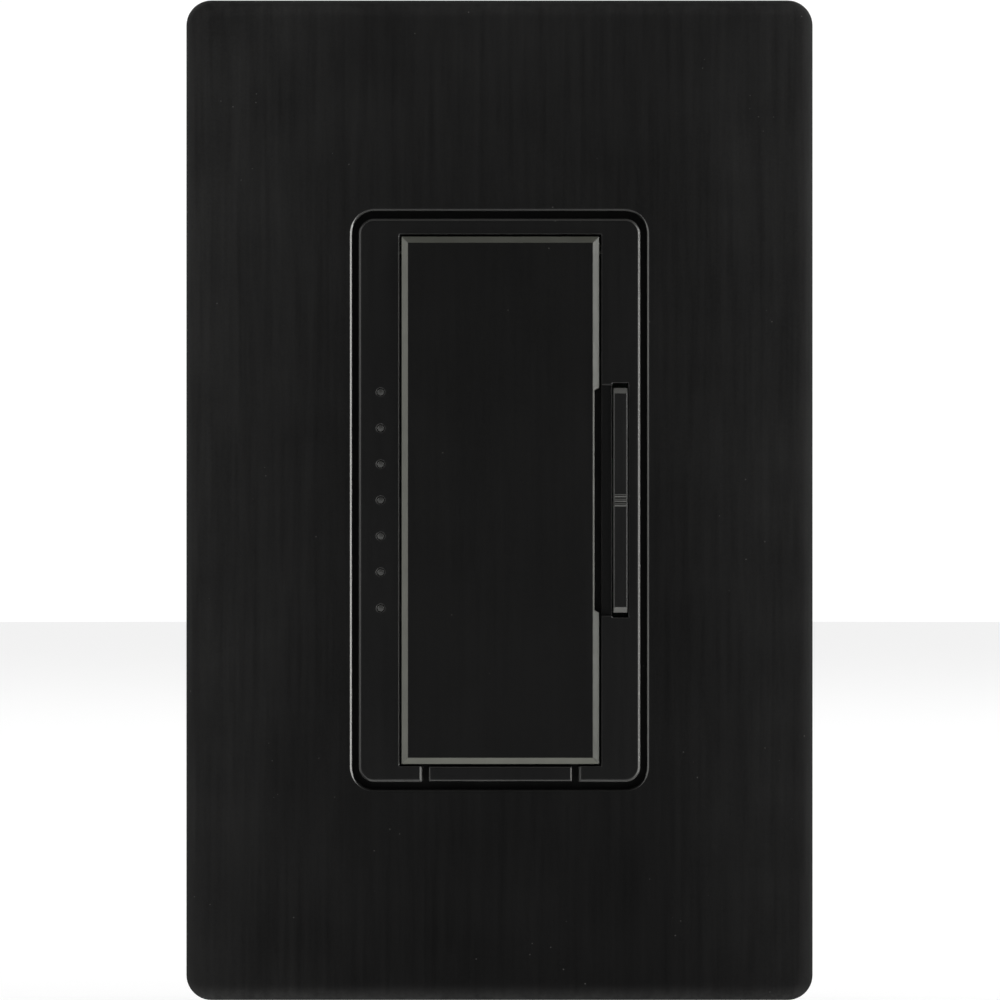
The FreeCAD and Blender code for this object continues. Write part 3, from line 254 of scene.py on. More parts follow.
def makeBrushGroup():
    # long fine scratches along one axis of the metal
    group, given, result = newGroup("brushedLines", {
        "Stretch": ("Vector", (2500.0, 2500.0, 40.0)),
        "Colour": ("Color", colour(0.7, 0.7, 0.7)),
        "Contrast": ("Float", 0.25),
        "Roughness": ("Float", 0.35),
    }, {"Colour": "Color", "Roughness": "Float", "Height": "Float"})
    place = piecePlace(group)
    stretch = group.nodes.new("ShaderNodeVectorMath")
    stretch.operation = "MULTIPLY"
    link(group, place, stretch.inputs[0])
    link(group, given["Stretch"], stretch.inputs[1])
    lines = noiseNode(group, stretch.outputs["Vector"], 1.0, 4.0)
    cloud = noiseNode(group, place, 120.0, 4.0)
    value = plus(group, mathNode(group, "SUBTRACT", lines, 0.5), swing(group, cloud, 0.8))
    bright = plus(group, 1.0, times(group, value, given["Contrast"]))
    link(group, scaleColour(group, given["Colour"], bright), result["Colour"])
    link(group, plus(group, given["Roughness"], times(group, value, 0.3)), result["Roughness"])
    link(group, lines, result["Height"])
    return group


def makeSlantHighlightGroup():
    # a mask of the slanted faces and round edges: it makes them smoother and mixes a painted
    # highlight into their colour, with a share for each side as if light fell more from one side
    group, given, result = newGroup("slantPolishAndPaintedHighlight", {
        "Width": ("Float", 0.00016),
        "Half width": ("Float", 1.0),
        "Half height": ("Float", 1.0),
        "Facing right": ("Float", 1.0),
        "Facing left": ("Float", 1.0),
        "Facing up": ("Float", 1.0),
        "Facing down": ("Float", 1.0),
    }, {"Mask": "Float"})
    toPiece = group.nodes.new("ShaderNodeVectorTransform")
    toPiece.vector_type = "NORMAL"
    toPiece.convert_from = "WORLD"
    toPiece.convert_to = "OBJECT"
    link(group, roundedNormal(group, given["Width"], 8), toPiece.inputs["Vector"])
    facing = splitVector(group, toPiece.outputs["Vector"])
    # flat fronts and straight side walls stay out of it
    tilt = mathNode(group, "ABSOLUTE", facing["Y"])
    slanted = times(group, rangeNode(group, tilt, 0.97, 0.86), rangeNode(group, tilt, 0.18, 0.40))
    place = piecePlace(group)
    spot = splitVector(group, place)
    near = times(group,
                 mathNode(group, "LESS_THAN", mathNode(group, "ABSOLUTE", spot["X"]),
                          given["Half width"]),
                 mathNode(group, "LESS_THAN", mathNode(group, "ABSOLUTE", spot["Z"]),
                          given["Half height"]))
    cloud = noiseNode(group, place, 420.0, 4.0)
    patchy = plus(group, 0.82, times(group, cloud, 0.3))
    mask = times(group, slanted, times(group, near, patchy))
    # each side gets its own share of the painted highlight and polish, brightest where the light is
    # meant to come from
    for label, axis, sign in (("Facing right", "X", 1), ("Facing left", "X", -1),
                              ("Facing up", "Z", 1), ("Facing down", "Z", -1)):
        turned = times(group, facing[axis], sign)
        chosen = mathNode(group, "GREATER_THAN", turned, 0.3)
        extra = mathNode(group, "SUBTRACT", given[label], 1.0)
        mask = times(group, mask, plus(group, 1.0, times(group, chosen, extra)))
    link(group, mask, result["Mask"])
    return group


def makePaintedShadingGroup():
    # painted shading: the colour is lightened slowly towards the sides and the top and darkened
    # towards the bottom, and lightened quickly on the top and bottom rims, as light would fall on
    # the plate
    group, given, result = newGroup("paintedSideShading", {
        "Inner": ("Float", 0.018),
        "Outer": ("Float", 0.0373),
        "Sides": ("Float", 0.0),
        "Ends": ("Float", 0.0),
        "Rims": ("Float", 0.0),
    }, {"Factor": "Float", "Outside": "Float"})
    place = piecePlace(group)
    spot = splitVector(group, place)
    away = mathNode(group, "ABSOLUTE", plus(group, spot["X"], -0.0015))
    tall = mathNode(group, "ABSOLUTE", spot["Z"])
    wander = swing(group, noiseNode(group, place, 30.0), 0.012)
    across = rangeNode(group, plus(group, away, wander), given["Inner"], given["Outer"],
                       smooth=False)
    up = rangeNode(group, spot["Z"], -0.04, 0.06, -0.6, 1.0, smooth=False)
    last = rangeNode(group, tall, 0.0572, 0.0598)
    lift = plus(group, times(group, across, given["Sides"]), times(group, up, given["Ends"]))
    lift = plus(group, lift, times(group, last, given["Rims"]))
    link(group, plus(group, 1.0, lift), result["Factor"])
    # the outside share grows from the opening to the plate's edge, sideways or up and down
    beside = rangeNode(group, away, 0.0185, 0.0360)
    beyond = rangeNode(group, tall, 0.0360, 0.0580)
    either = mathNode(group, "SUBTRACT", plus(group, beside, beyond), times(group, beside, beyond))
    link(group, either, result["Outside"])
    return group


grainGroup = makeGrainGroup()
edgeGroup = makeEdgeGroup()
dustGroup = makeDustGroup()
brushGroup = makeBrushGroup()
slantHighlightGroup = makeSlantHighlightGroup()
paintedShadingGroup = makePaintedShadingGroup()


def plasticMaterial(name, finish):
    # moulded plastic: grain, mottling, painted side shading, polished slants with a painted
    # highlight, rubbed edges, dust and haze
    mat, tree, shader = newMaterial(name)
    grain = placeGroup(tree, grainGroup, Colour=colour(*finish["colour"]),
                       Grain_size=finish["grain"], Mottle=finish["mottle"],
                       Streaks=finish["streaks"], Roughness=finish["roughness"],
                       Roughness_spread=finish["spread"])
    edge = placeGroup(tree, edgeGroup, Width=finish["edgeWidth"], Strength=finish["edgeRub"])
    dust = placeGroup(tree, dustGroup, Amount=finish["dust"], Haze=finish["haze"])
    right, left, up, down = finish["wearShares"]
    slant = placeGroup(tree, slantHighlightGroup, Width=finish["slantWidth"],
                       Half_width=finish["slantHalf"][0], Half_height=finish["slantHalf"][1],
                       Facing_right=right, Facing_left=left, Facing_up=up, Facing_down=down)
    paintedShadingAndOuter = placeGroup(tree, paintedShadingGroup, Sides=finish["sides"], Ends=finish["ends"],
                       Rims=finish["rims"])
    # painted shading: where a finish asks for it (the plate), the colour is lightened towards the
    # sides and top and darkened towards the bottom, as if lit
    paintedShadeColour = scaleColour(tree, grain["Colour"], paintedShadingAndOuter["Factor"])
    # painted highlight: the slanted faces and round edges are mixed towards a lighter colour, as if
    # they caught the light
    paintedHighlightMix = mixColour(tree, slant["Mask"], paintedShadeColour, colour(*finish["slantColour"]))
    rubbed = mixColour(tree, edge["Mask"], paintedHighlightMix, colour(*finish["rubColour"]))
    dusty = mixColour(tree, dust["Speck"], rubbed, colour(*finish["lint"]))
    link(tree, dusty, shader.inputs["Base Color"])
    hazed = plus(tree, grain["Roughness"], dust["Haze"])
    touched = mathNode(tree, "MAXIMUM", edge["Mask"], slant["Mask"])
    polished = mathNode(tree, "SUBTRACT", hazed, times(tree, touched, finish["edgePolish"]))
    matte = times(tree, paintedShadingAndOuter["Outside"], finish["outerMatte"])
    link(tree, plus(tree, polished, matte), shader.inputs["Roughness"])
    addBump(tree, shader, grain["Height"], finish["bump"], finish["bumpDepth"], edge["Normal"])
    shader.inputs["IOR"].default_value = finish["ior"]
    shader.inputs["Specular IOR Level"].default_value = finish["gloss"]
    return mat


def metalMaterial(name, finish):
    # brushed or rolled metal with stains and rubbed edges
    mat, tree, shader = newMaterial(name)
    brush = placeGroup(tree, brushGroup, Stretch=finish["stretch"], Colour=colour(*finish["colour"]),
                       Contrast=finish["contrast"], Roughness=finish["roughness"])
    edge = placeGroup(tree, edgeGroup, Width=finish["edgeWidth"], Strength=finish["edgeRub"])
    stain = noiseNode(tree, piecePlace(tree), finish["stainScale"], 6.0)
    stained = mixColour(tree, times(tree, stain, finish["stain"]), brush["Colour"],
                        colour(*finish["stainColour"]))
    rubbed = mixColour(tree, edge["Mask"], stained, colour(*finish["rubColour"]))
    link(tree, rubbed, shader.inputs["Base Color"])
    link(tree, plus(tree, brush["Roughness"], times(tree, stain, finish["stainRoughness"])),
         shader.inputs["Roughness"])
    addBump(tree, shader, brush["Height"], finish["bump"], finish["bumpDepth"], edge["Normal"])
    shader.inputs["Metallic"].default_value = 1.0
    return mat


# what the moulded finishes share, with lengths in metres; slantHalf bounds the polished slants and
# their painted highlight, and the four shares set how strong that painted highlight is on slants
# that face right, left, up and down
plasticBase = {
    "colour": (0.0042, 0.0042, 0.0040), "grain": 0.00024, "mottle": 0.22, "streaks": 0.12,
    "roughness": 0.40, "spread": 0.10, "edgeWidth": 0.00018, "edgeRub": 0.35,
    "rubColour": (0.035, 0.034, 0.033), "edgePolish": 0.12, "dust": 0.25, "haze": 0.10,
    "bump": 0.22, "bumpDepth": 0.00005, "ior": 1.49, "gloss": 0.5, "lint": (0.20, 0.195, 0.185),
    "slantHalf": (1.0, 1.0), "slantColour": (0.012, 0.012, 0.012), "slantWidth": 0.00016,
    "wearShares": (1.0, 1.0, 1.0, 1.0), "sides": 0.0, "ends": 0.0, "rims": 0.0, "outerMatte": 0.0,
}


def plastic(**changes):
    return {**plasticBase, **changes}


# the black parts get a painted highlight on their slants, each side by its own share as if light
# fell unevenly from the sides; the plate also gets painted side shading
plasticFinishes = {
    "blackPlate": plastic(colour=(0.0048, 0.0048, 0.0046), mottle=0.5, streaks=0.5,
                          roughness=0.46, edgePolish=0.26, slantHalf=(0.0190, 0.0365),
                          slantColour=(0.50, 0.50, 0.48), wearShares=(1.0, 0.24, 0.015, 0.08),
                          sides=1.0, ends=0.36, rims=2.6, outerMatte=0.34, gloss=0.27),
    "blackBezel": plastic(colour=(0.0028, 0.0028, 0.0027), mottle=0.5, streaks=0.6,
                          roughness=0.38, edgePolish=0.20, slantWidth=0.00024,
                          slantColour=(0.16, 0.16, 0.153), wearShares=(1.35, 0.26, 0.24, 0.36)),
    "blackPaddle": plastic(colour=(0.0026, 0.0026, 0.0024), mottle=0.5, streaks=0.6,
                           roughness=0.37, haze=0.16, edgePolish=0.04,
                           slantColour=(0.118, 0.120, 0.103), gloss=0.42,
                           wearShares=(0.61, 0.92, 0.76, 1.0)),
    "blackRocker": plastic(colour=(0.0052, 0.0052, 0.0050), mottle=0.5, streaks=0.8,
                           roughness=0.42, haze=0.16, edgePolish=0.04,
                           slantColour=(0.12, 0.12, 0.113), gloss=0.42,
                           wearShares=(0.33, 0.5, 1.0, 1.0)),
    "adapterPlastic": plastic(colour=(0.016, 0.016, 0.016), roughness=0.52, bump=0.35, dust=0.6),
    "housingPlastic": plastic(colour=(0.014, 0.014, 0.015), roughness=0.48, grain=0.00035,
                              bump=0.4, dust=0.7, edgeWidth=0.0004, edgeRub=0.5),
    "switchPlastic": plastic(colour=(0.012, 0.012, 0.013), roughness=0.45, dust=0.5),
    "plungerPlastic": plastic(colour=(0.55, 0.55, 0.52), roughness=0.45, mottle=0.06, streaks=0.03,
                              rubColour=(0.7, 0.7, 0.68)),
    "siliconePad": plastic(colour=(0.30, 0.32, 0.33), roughness=0.6, mottle=0.1,
                           rubColour=(0.4, 0.4, 0.4)),
    "filmYellow": plastic(colour=(0.62, 0.40, 0.03), roughness=0.3, mottle=0.05, streaks=0.02,
                          rubColour=(0.7, 0.5, 0.1)),
    "varistorBlue": plastic(colour=(0.02, 0.09, 0.34), roughness=0.28, mottle=0.1, streaks=0.0,
                            rubColour=(0.05, 0.15, 0.45)),
    "canSleeve": plastic(colour=(0.015, 0.02, 0.07), roughness=0.25, mottle=0.05,
                         rubColour=(0.05, 0.06, 0.12)),
    "resistorTan": plastic(colour=(0.46, 0.33, 0.18), roughness=0.35, mottle=0.1, streaks=0.0,
                           rubColour=(0.5, 0.4, 0.3)),
    "fuseCeramic": plastic(colour=(0.72, 0.70, 0.64), roughness=0.4, mottle=0.08, streaks=0.0,
                           rubColour=(0.8, 0.78, 0.72)),
    "ferriteCoat": plastic(colour=(0.10, 0.16, 0.07), roughness=0.4, mottle=0.2,
                           rubColour=(0.2, 0.25, 0.15)),
}

# what the metal finishes share; stretch sets which way the scratches run
metalBase = {
    "stretch": (2600.0, 2600.0, 60.0), "colour": (0.62, 0.63, 0.64), "contrast": 0.3,
    "roughness": 0.32, "edgeWidth": 0.0002, "edgeRub": 0.6, "stainScale": 180.0, "stain": 0.25,
    "stainColour": (0.42, 0.41, 0.39), "rubColour": (0.85, 0.85, 0.85), "bump": 0.25,
    "bumpDepth": 0.00004, "stainRoughness": 0.12,
}


def metal(**changes):
    return {**metalBase, **changes}


metalFinishes = {
    "yokeAluminium": metal(colour=(0.68, 0.69, 0.70), roughness=0.36),
    "zincSteel": metal(colour=(0.60, 0.60, 0.57), roughness=0.28, stain=0.3,
                       stainColour=(0.45, 0.44, 0.36), stretch=(900.0, 900.0, 900.0)),
    "blackOxide": metal(colour=(0.045, 0.045, 0.047), roughness=0.38, stain=0.2,
                        stainColour=(0.09, 0.075, 0.06), rubColour=(0.35, 0.35, 0.36),
                        stretch=(900.0, 900.0, 900.0)),
    "greenScrew": metal(colour=(0.06, 0.26, 0.11), roughness=0.3, stain=0.25,
                        stainColour=(0.03, 0.16, 0.06), rubColour=(0.35, 0.45, 0.33),
                        stretch=(900.0, 900.0, 900.0)),
    "brassPlain": metal(colour=(0.72, 0.50, 0.20), roughness=0.3, stain=0.35,
                        stainColour=(0.42, 0.25, 0.08), rubColour=(0.9, 0.72, 0.4),
                        stretch=(1200.0, 1200.0, 1200.0)),
    "brassScrew": metal(colour=(0.83, 0.66, 0.36), roughness=0.2, stain=0.15,
                        stainColour=(0.55, 0.38, 0.16), rubColour=(0.95, 0.85, 0.6),
                        stretch=(900.0, 900.0, 900.0)),
    "springWire": metal(colour=(0.55, 0.55, 0.55), roughness=0.25, stain=0.15),
    "tinnedPin": metal(colour=(0.68, 0.68, 0.65), roughness=0.3, stain=0.2),
    "copperWire": metal(colour=(0.62, 0.22, 0.07), roughness=0.22, stain=0.3,
                        stainColour=(0.35, 0.08, 0.02), rubColour=(0.8, 0.45, 0.25),
                        stretch=(700.0, 700.0, 700.0)),
}

materials = {}
for name, finish in plasticFinishes.items():
    materials[name] = plasticMaterial(name, finish)
for name, finish in metalFinishes.items():
    materials[name] = metalMaterial(name, finish)

boardLook = {
    "mask": (0.012, 0.085, 0.030), "track": (0.022, 0.15, 0.055), "cloth": (0.05, 0.14, 0.05),
    "bareEdge": (0.30, 0.27, 0.14), "trackScale": 330.0, "trackGap": 0.16, "weave": 1400.0,
    "clothShare": 0.12, "edgeWidth": 0.0002, "edgeRub": 0.8, "roughness": 0.22, "spread": 0.1,
    "bump": 0.5, "bumpDepth": 0.00004,
}
lensLook = {
    "dark": (0.018, 0.018, 0.0172), "light": (0.058, 0.058, 0.055), "cloud": 1500.0,
    "roughness": 0.10, "spread": 0.16, "ior": 1.58, "coat": 0.8, "coatRoughness": 0.10,
    "bump": 0.3, "bumpDepth": 0.00003,
}
lampLook = {
    "phosphor": (0.75, 0.72, 0.5), "body": (0.85, 0.84, 0.76), "cloud": 1200.0,
    "roughness": 0.2, "spread": 0.2,
}


def boardMaterial(look):
    # solder mask over copper tracks, with the glass cloth showing faintly and bare board edges
    mat, tree, shader = newMaterial("boardMask")
    place = piecePlace(tree)
    cells = cellNode(tree, place, look["trackScale"], "DISTANCE_TO_EDGE")
    tracks = mathNode(tree, "GREATER_THAN", cells, look["trackGap"])
    wave = tree.nodes.new("ShaderNodeTexWave")
    wave.inputs["Scale"].default_value = look["weave"]
    link(tree, place, wave.inputs["Vector"])
    cloth = wave.outputs["Fac"]
    edge = placeGroup(tree, edgeGroup, Width=look["edgeWidth"], Strength=look["edgeRub"])
    base = mixColour(tree, tracks, colour(*look["mask"]), colour(*look["track"]))
    woven = mixColour(tree, times(tree, cloth, look["clothShare"]), base, colour(*look["cloth"]))
    cut = mixColour(tree, edge["Mask"], woven, colour(*look["bareEdge"]))
    link(tree, cut, shader.inputs["Base Color"])
    link(tree, plus(tree, look["roughness"], times(tree, cloth, look["spread"])),
         shader.inputs["Roughness"])
    addBump(tree, shader, tracks, look["bump"], look["bumpDepth"])
    return mat


def lensMaterial(look):
    # smoky clear plastic of the light pipe, under a smooth coat
    mat, tree, shader = newMaterial("lightLens")
    cloud = noiseNode(tree, piecePlace(tree), look["cloud"], 3.0)
    smoke = mixColour(tree, cloud, colour(*look["dark"]), colour(*look["light"]))
    link(tree, smoke, shader.inputs["Base Color"])
    link(tree, plus(tree, look["roughness"], times(tree, cloud, look["spread"])),
         shader.inputs["Roughness"])
    addBump(tree, shader, cloud, look["bump"], look["bumpDepth"])
    shader.inputs["IOR"].default_value = look["ior"]
    shader.inputs["Coat Weight"].default_value = look["coat"]
    shader.inputs["Coat Roughness"].default_value = look["coatRoughness"]
    return mat


def ledMaterial(look):
    # pale resin of the small lamps, yellowed by the phosphor
    mat, tree, shader = newMaterial("ledBody")
    cloud = noiseNode(tree, piecePlace(tree), look["cloud"])
    resin = mixColour(tree, cloud, colour(*look["phosphor"]), colour(*look["body"]))
    link(tree, resin, shader.inputs["Base Color"])
    link(tree, plus(tree, look["roughness"], times(tree, cloud, look["spread"])),
         shader.inputs["Roughness"])
    return mat


materials["boardMask"] = boardMaterial(boardLook)
materials["lightLens"] = lensMaterial(lensLook)
materials["ledBody"] = ledMaterial(lampLook)
print("materials made:", len(materials))

# which finish each part of the frame wears
wears = {
    "wallplate_cover": "blackPlate", "bezel": "blackBezel", "service_tab": "blackBezel",
    "tap_paddle": "blackPaddle", "dimming_rocker": "blackRocker",
    "wallplate_adapter": "adapterPlastic", "rear_housing": "housingPlastic",
    "yoke": "yokeAluminium", "mounting_screws": "zincSteel", "housing_screws": "zincSteel",
    "triac_screw": "zincSteel", "adapter_screws": "blackOxide", "earth_screw": "greenScrew",
    "terminal_plates": "brassPlain", "terminal_screws": "brassPlain", "leaf_post": "brassPlain",
    "fixed_contact": "brassPlain", "air_gap_leaf": "brassPlain", "paddle_springs": "springWire",
    "header_pins": "tinnedPin", "control_board": "boardMask", "power_board": "boardMask",
    "status_leds": "ledBody", "light_pipe": "lightLens", "tap_switch_case": "switchPlastic",
    "rocker_switch_cases": "switchPlastic", "header_strip": "switchPlastic",
    "microcontroller": "switchPlastic", "triac": "switchPlastic", "rectifier": "switchPlastic",
    "tap_switch_plunger": "plungerPlastic", "upper_rocker_plunger": "plungerPlastic",
    "lower_rocker_plunger": "plungerPlastic", "board_standoffs": "plungerPlastic",
    "triac_pad": "siliconePad", "choke_core": "ferriteCoat", "choke_winding": "copperWire",
    "film_capacitor": "filmYellow", "can_capacitor": "canSleeve", "varistor": "varistorBlue",
    "resistors": "resistorTan", "thermal_fuse": "fuseCeramic",
}
for node, finish in wears.items():
    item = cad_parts[node]
    if not item.material_slots:
        item.data.materials.append(materials[finish])
    for holder in item.material_slots:
        holder.material = materials[finish]
print("frame parts finished:", len(wears))


def toMesh(name, source):
    # turns the bmesh into a mesh, with its faces outwards
    bmesh.ops.recalc_face_normals(source, faces=source.faces)
    mesh = bpy.data.meshes.new(name)
    source.to_mesh(mesh)
    source.free()
    return mesh


def meshObject(name, mesh, finish):
    piece = bpy.data.objects.new(name, mesh)
    bpy.context.scene.collection.objects.link(piece)
    mesh.materials.append(materials[finish])
    return piece


def axisFrame(axis):
    # turns +Z of a turned piece onto the given axis
    return Vector((0, 0, 1)).rotation_difference(Vector(axis)).to_matrix().to_4x4()


def roundSpot(radius, turn, height):
    # a point at that share of a turn round +Z
    angle = 2 * math.pi * turn
    return Vector((radius * math.cos(angle), radius * math.sin(angle), height))


def addTurned(mesh, profile, where, segments=48):
    # sweeps (radius, height) points round +Z, then puts them where the matrix says
    rings = []
    for radius, height in profile:
        if radius == 0:
            rings.append([mesh.verts.new(where @ Vector((0, 0, height)))])
            continue
        rings.append([mesh.verts.new(where @ roundSpot(radius, step / segments, height))
                      for step in range(segments)])
    for lower, upper in zip(rings, rings[1:]):
        for step in range(segments):
            following = (step + 1) % segments
            if len(lower) == 1:
                mesh.faces.new((lower[0], upper[following], upper[step]))
            elif len(upper) == 1:
                mesh.faces.new((lower[step], lower[following], upper[0]))
            else:
                mesh.faces.new((lower[step], lower[following], upper[following], upper[step]))


# rows a turn, share of the core left at the point, flat share of root and crest, cap on the point
threadShape = {"rows": 10, "tip": 0.72, "flat": 0.12, "cap": 0.2 * mm}


def addThread(mesh, core, crest, pitch, length, point, where, segments=40):
    # a real helical thread: the radius follows a cut-off triangle wave that climbs one pitch a turn
    flat = threadShape["flat"]
    tip = threadShape["tip"]
    rows = int(length / pitch * threadShape["rows"])
    rings = []
    for row in range(rows + 1):
        height = length * row / rows
        narrow = min(1.0, max(0.0, (length - height) / point))
        ring = []
        for step in range(segments):
            turn = step / segments
            phase = (height / pitch - turn) % 1.0
            wave = 1 - abs(2 * phase - 1)
            tooth = min(1.0, max(0.0, (wave - flat) / (1 - 2 * flat)))
            radius = core * (tip + (1 - tip) * narrow) + (crest - core) * tooth * narrow
            ring.append(mesh.verts.new(where @ roundSpot(radius, turn, height)))
        rings.append(ring)
    for lower, upper in zip(rings, rings[1:]):
        for step in range(segments):
            following = (step + 1) % segments
            mesh.faces.new((lower[step], lower[following], upper[following], upper[step]))
    for ring, height in ((rings[0], 0.0), (rings[-1], length + threadShape["cap"])):
        middle = mesh.verts.new(where @ Vector((0, 0, height)))
        for step in range(segments):
            mesh.faces.new((ring[step], ring[(step + 1) % segments], middle))


def smoothMesh(mesh, angle=35):
    for face in mesh.polygons:
        face.use_smooth = True
    mesh.set_sharp_from_angle(angle=math.radians(angle))


def cutWith(piece, cutter):
    # cuts the cutter out of the piece and keeps plain mesh
    modifier = piece.modifiers.new("cut", "BOOLEAN")
    modifier.operation = "DIFFERENCE"
    modifier.solver = "EXACT"
    modifier.object = cutter
    bpy.context.view_layer.update()
    evaluated = piece.evaluated_get(bpy.context.evaluated_depsgraph_get())
    cutMesh = bpy.data.meshes.new_from_object(evaluated)
    piece.modifiers.clear()
    old = piece.data
    piece.data = cutMesh
    bpy.data.meshes.remove(old)
    old = cutter.data
    bpy.data.objects.remove(cutter)
    bpy.data.meshes.remove(old)


def addBlock(mesh, size, where, taper=1.0):
    # a box of the given size centred on the matrix, with its lower end narrowed by the taper
    verts = []
    for z, shrink in ((-0.5, taper), (0.5, 1.0)):
        for x, y in ((-0.5, -0.5), (0.5, -0.5), (0.5, 0.5), (-0.5, 0.5)):
            spot = Vector((x * size[0] * shrink, y * size[1] * shrink, z * size[2]))
            verts.append(mesh.verts.new(where @ spot))
    for corners in ((3, 2, 1, 0), (4, 5, 6, 7), (0, 1, 5, 4), (1, 2, 6, 5), (2, 3, 7, 6),
                    (3, 0, 4, 7)):
        mesh.faces.new([verts[corner] for corner in corners])


def headProfile(style, radius, tall):
    # points as shares of the head's radius and height, from its underside up to its crown
    if style == "flat":
        shares = [(0.5, 0.0), (0.985, 0.90), (1.0, 0.95), (0.985, 1.0), (0.6, 1.0), (0.0, 1.0)]
    else:
        shares = [(0.0, 0.0), (0.96, 0.0), (1.0, 0.08), (1.0, 0.55)]
        for step in range(1, 7):
            angle = math.radians(15 * step)
            wide = 0.78 + 0.22 * math.cos(angle) if step < 6 else 0.6
            shares.append((wide, 0.55 + 0.42 * math.sin(angle)))
        shares.append((0.0, 1.0))
    return [(radius * wide, tall * high) for wide, high in shares]


def addDrive(cutters, look, top):
    # the slot, the cross or both, cut from the top of the head
    spin = Matrix.Rotation(math.radians(look["spin"]), 4, "Z")
    if look["drive"] in ("slot", "both"):
        addBlock(cutters, (look["head"] * 2.4, look["driveWidth"], look["driveDepth"] * 2),
                 top @ spin)
    if look["drive"] in ("cross", "both"):
        for quarter in (0, 90):
            turned = spin @ Matrix.Rotation(math.radians(quarter), 4, "Z")
            addBlock(cutters, (look["head"] * 1.05, look["driveWidth"] * 0.8,
                               look["driveDepth"] * 2.6), top @ turned, taper=0.55)


def makeScrews(name, look, spots):
    # spots are (head seat, direction of the shank); every screw of the set is the same
    shanks = bmesh.new()
    heads = bmesh.new()
    cutters = bmesh.new()
    neck = look["neck"]
    for seat, direction in spots:
        inward = Matrix.Translation(seat) @ axisFrame(direction)
        outward = Matrix.Translation(seat) @ axisFrame([-value for value in direction])
        # the neck runs a little into the head and into the thread
        addTurned(shanks, [(0.0, -0.2 * mm), (look["neckRadius"], -0.2 * mm),
                           (look["neckRadius"], neck + 0.4 * mm), (0.0, neck + 0.4 * mm)], inward)
        addThread(shanks, look["core"], look["crest"], look["pitch"], look["thread"],
                  look["point"], inward @ Matrix.Translation((0, 0, neck)))
        addTurned(heads, headProfile(look["style"], look["head"], look["tall"]), outward)
        addDrive(cutters, look, outward @ Matrix.Translation((0, 0, look["tall"])))
    piece = meshObject(name, toMesh(name + "_heads", heads), look["finish"])
    cutWith(piece, meshObject(name + "_cutters", toMesh(name + "_cutters", cutters),
                              look["finish"]))
    shanks.from_mesh(piece.data)
    bmesh.ops.recalc_face_normals(shanks, faces=shanks.faces)
    shanks.to_mesh(piece.data)
    shanks.free()
    smoothMesh(piece.data)
    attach(piece, "device")
    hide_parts(look["node"])


boxScrew = {
    "node": "mounting_screws", "slot": "screw_zinc", "finish": "zincSteel", "style": "pan",
    "head": 3.3 * mm, "tall": 1.5 * mm, "neck": 2.4 * mm, "neckRadius": 1.45 * mm,
    "core": 1.32 * mm, "crest": 1.75 * mm, "pitch": 0.794 * mm, "thread": 18.5 * mm,
    "point": 1.0 * mm, "drive": "slot", "driveWidth": 0.9 * mm, "driveDepth": 0.8 * mm, "spin": 90,
}
plateScrew = {
    "node": "adapter_screws", "slot": "screw_black", "finish": "blackOxide", "style": "flat",
    "head": 3.26 * mm, "tall": 1.6 * mm, "neck": 0.5 * mm, "neckRadius": 1.5 * mm,
    "core": 1.28 * mm, "crest": 1.68 * mm, "pitch": 0.794 * mm, "thread": 6.9 * mm,
    "point": 0.9 * mm, "drive": "slot", "driveWidth": 0.9 * mm, "driveDepth": 0.8 * mm, "spin": 90,
}
earthScrew = {
    "node": "earth_screw", "slot": "screw_green", "finish": "greenScrew", "style": "pan",
    "head": 3.55 * mm, "tall": 2.0 * mm, "neck": 0.4 * mm, "neckRadius": 1.8 * mm,
    "core": 1.55 * mm, "crest": 1.98 * mm, "pitch": 0.794 * mm, "thread": 3.8 * mm,
    "point": 0.6 * mm, "drive": "both", "driveWidth": 0.95 * mm, "driveDepth": 0.9 * mm, "spin": 0,
}
caseScrew = {
    "node": "housing_screws", "slot": "screw_zinc", "finish": "zincSteel", "style": "pan",
    "head": 1.98 * mm, "tall": 1.5 * mm, "neck": 1.0 * mm, "neckRadius": 1.0 * mm,
    "core": 0.92 * mm, "crest": 1.24 * mm, "pitch": 0.9 * mm, "thread": 28.0 * mm,
    "point": 1.2 * mm, "drive": "cross", "driveWidth": 0.6 * mm, "driveDepth": 0.75 * mm, "spin": 45,
}
terminalScrew = {
    "node": "terminal_screws", "slot": "brass", "finish": "brassScrew", "style": "pan",
    "head": 3.38 * mm, "tall": 1.9 * mm, "neck": 0.4 * mm, "neckRadius": 1.4 * mm,
    "core": 1.3 * mm, "crest": 1.7 * mm, "pitch": 0.794 * mm, "thread": 2.15 * mm,
    "point": 0.4 * mm, "drive": "both", "driveWidth": 0.9 * mm, "driveDepth": 0.9 * mm, "spin": 0,
}
# half of each standard spacing, and where the other heads sit
screwPlaces = {
    "boxHalf": 41.67 * mm, "plateHalf": 48.4 * mm, "earth": (-17.0 * mm, 4.4 * mm, -42.6 * mm),
    "column": (17.6 * mm, 28.2 * mm, 31.2 * mm), "terminal": (19.15 * mm, 20.9 * mm, 12.0 * mm),
}
sides = (-1, 1)


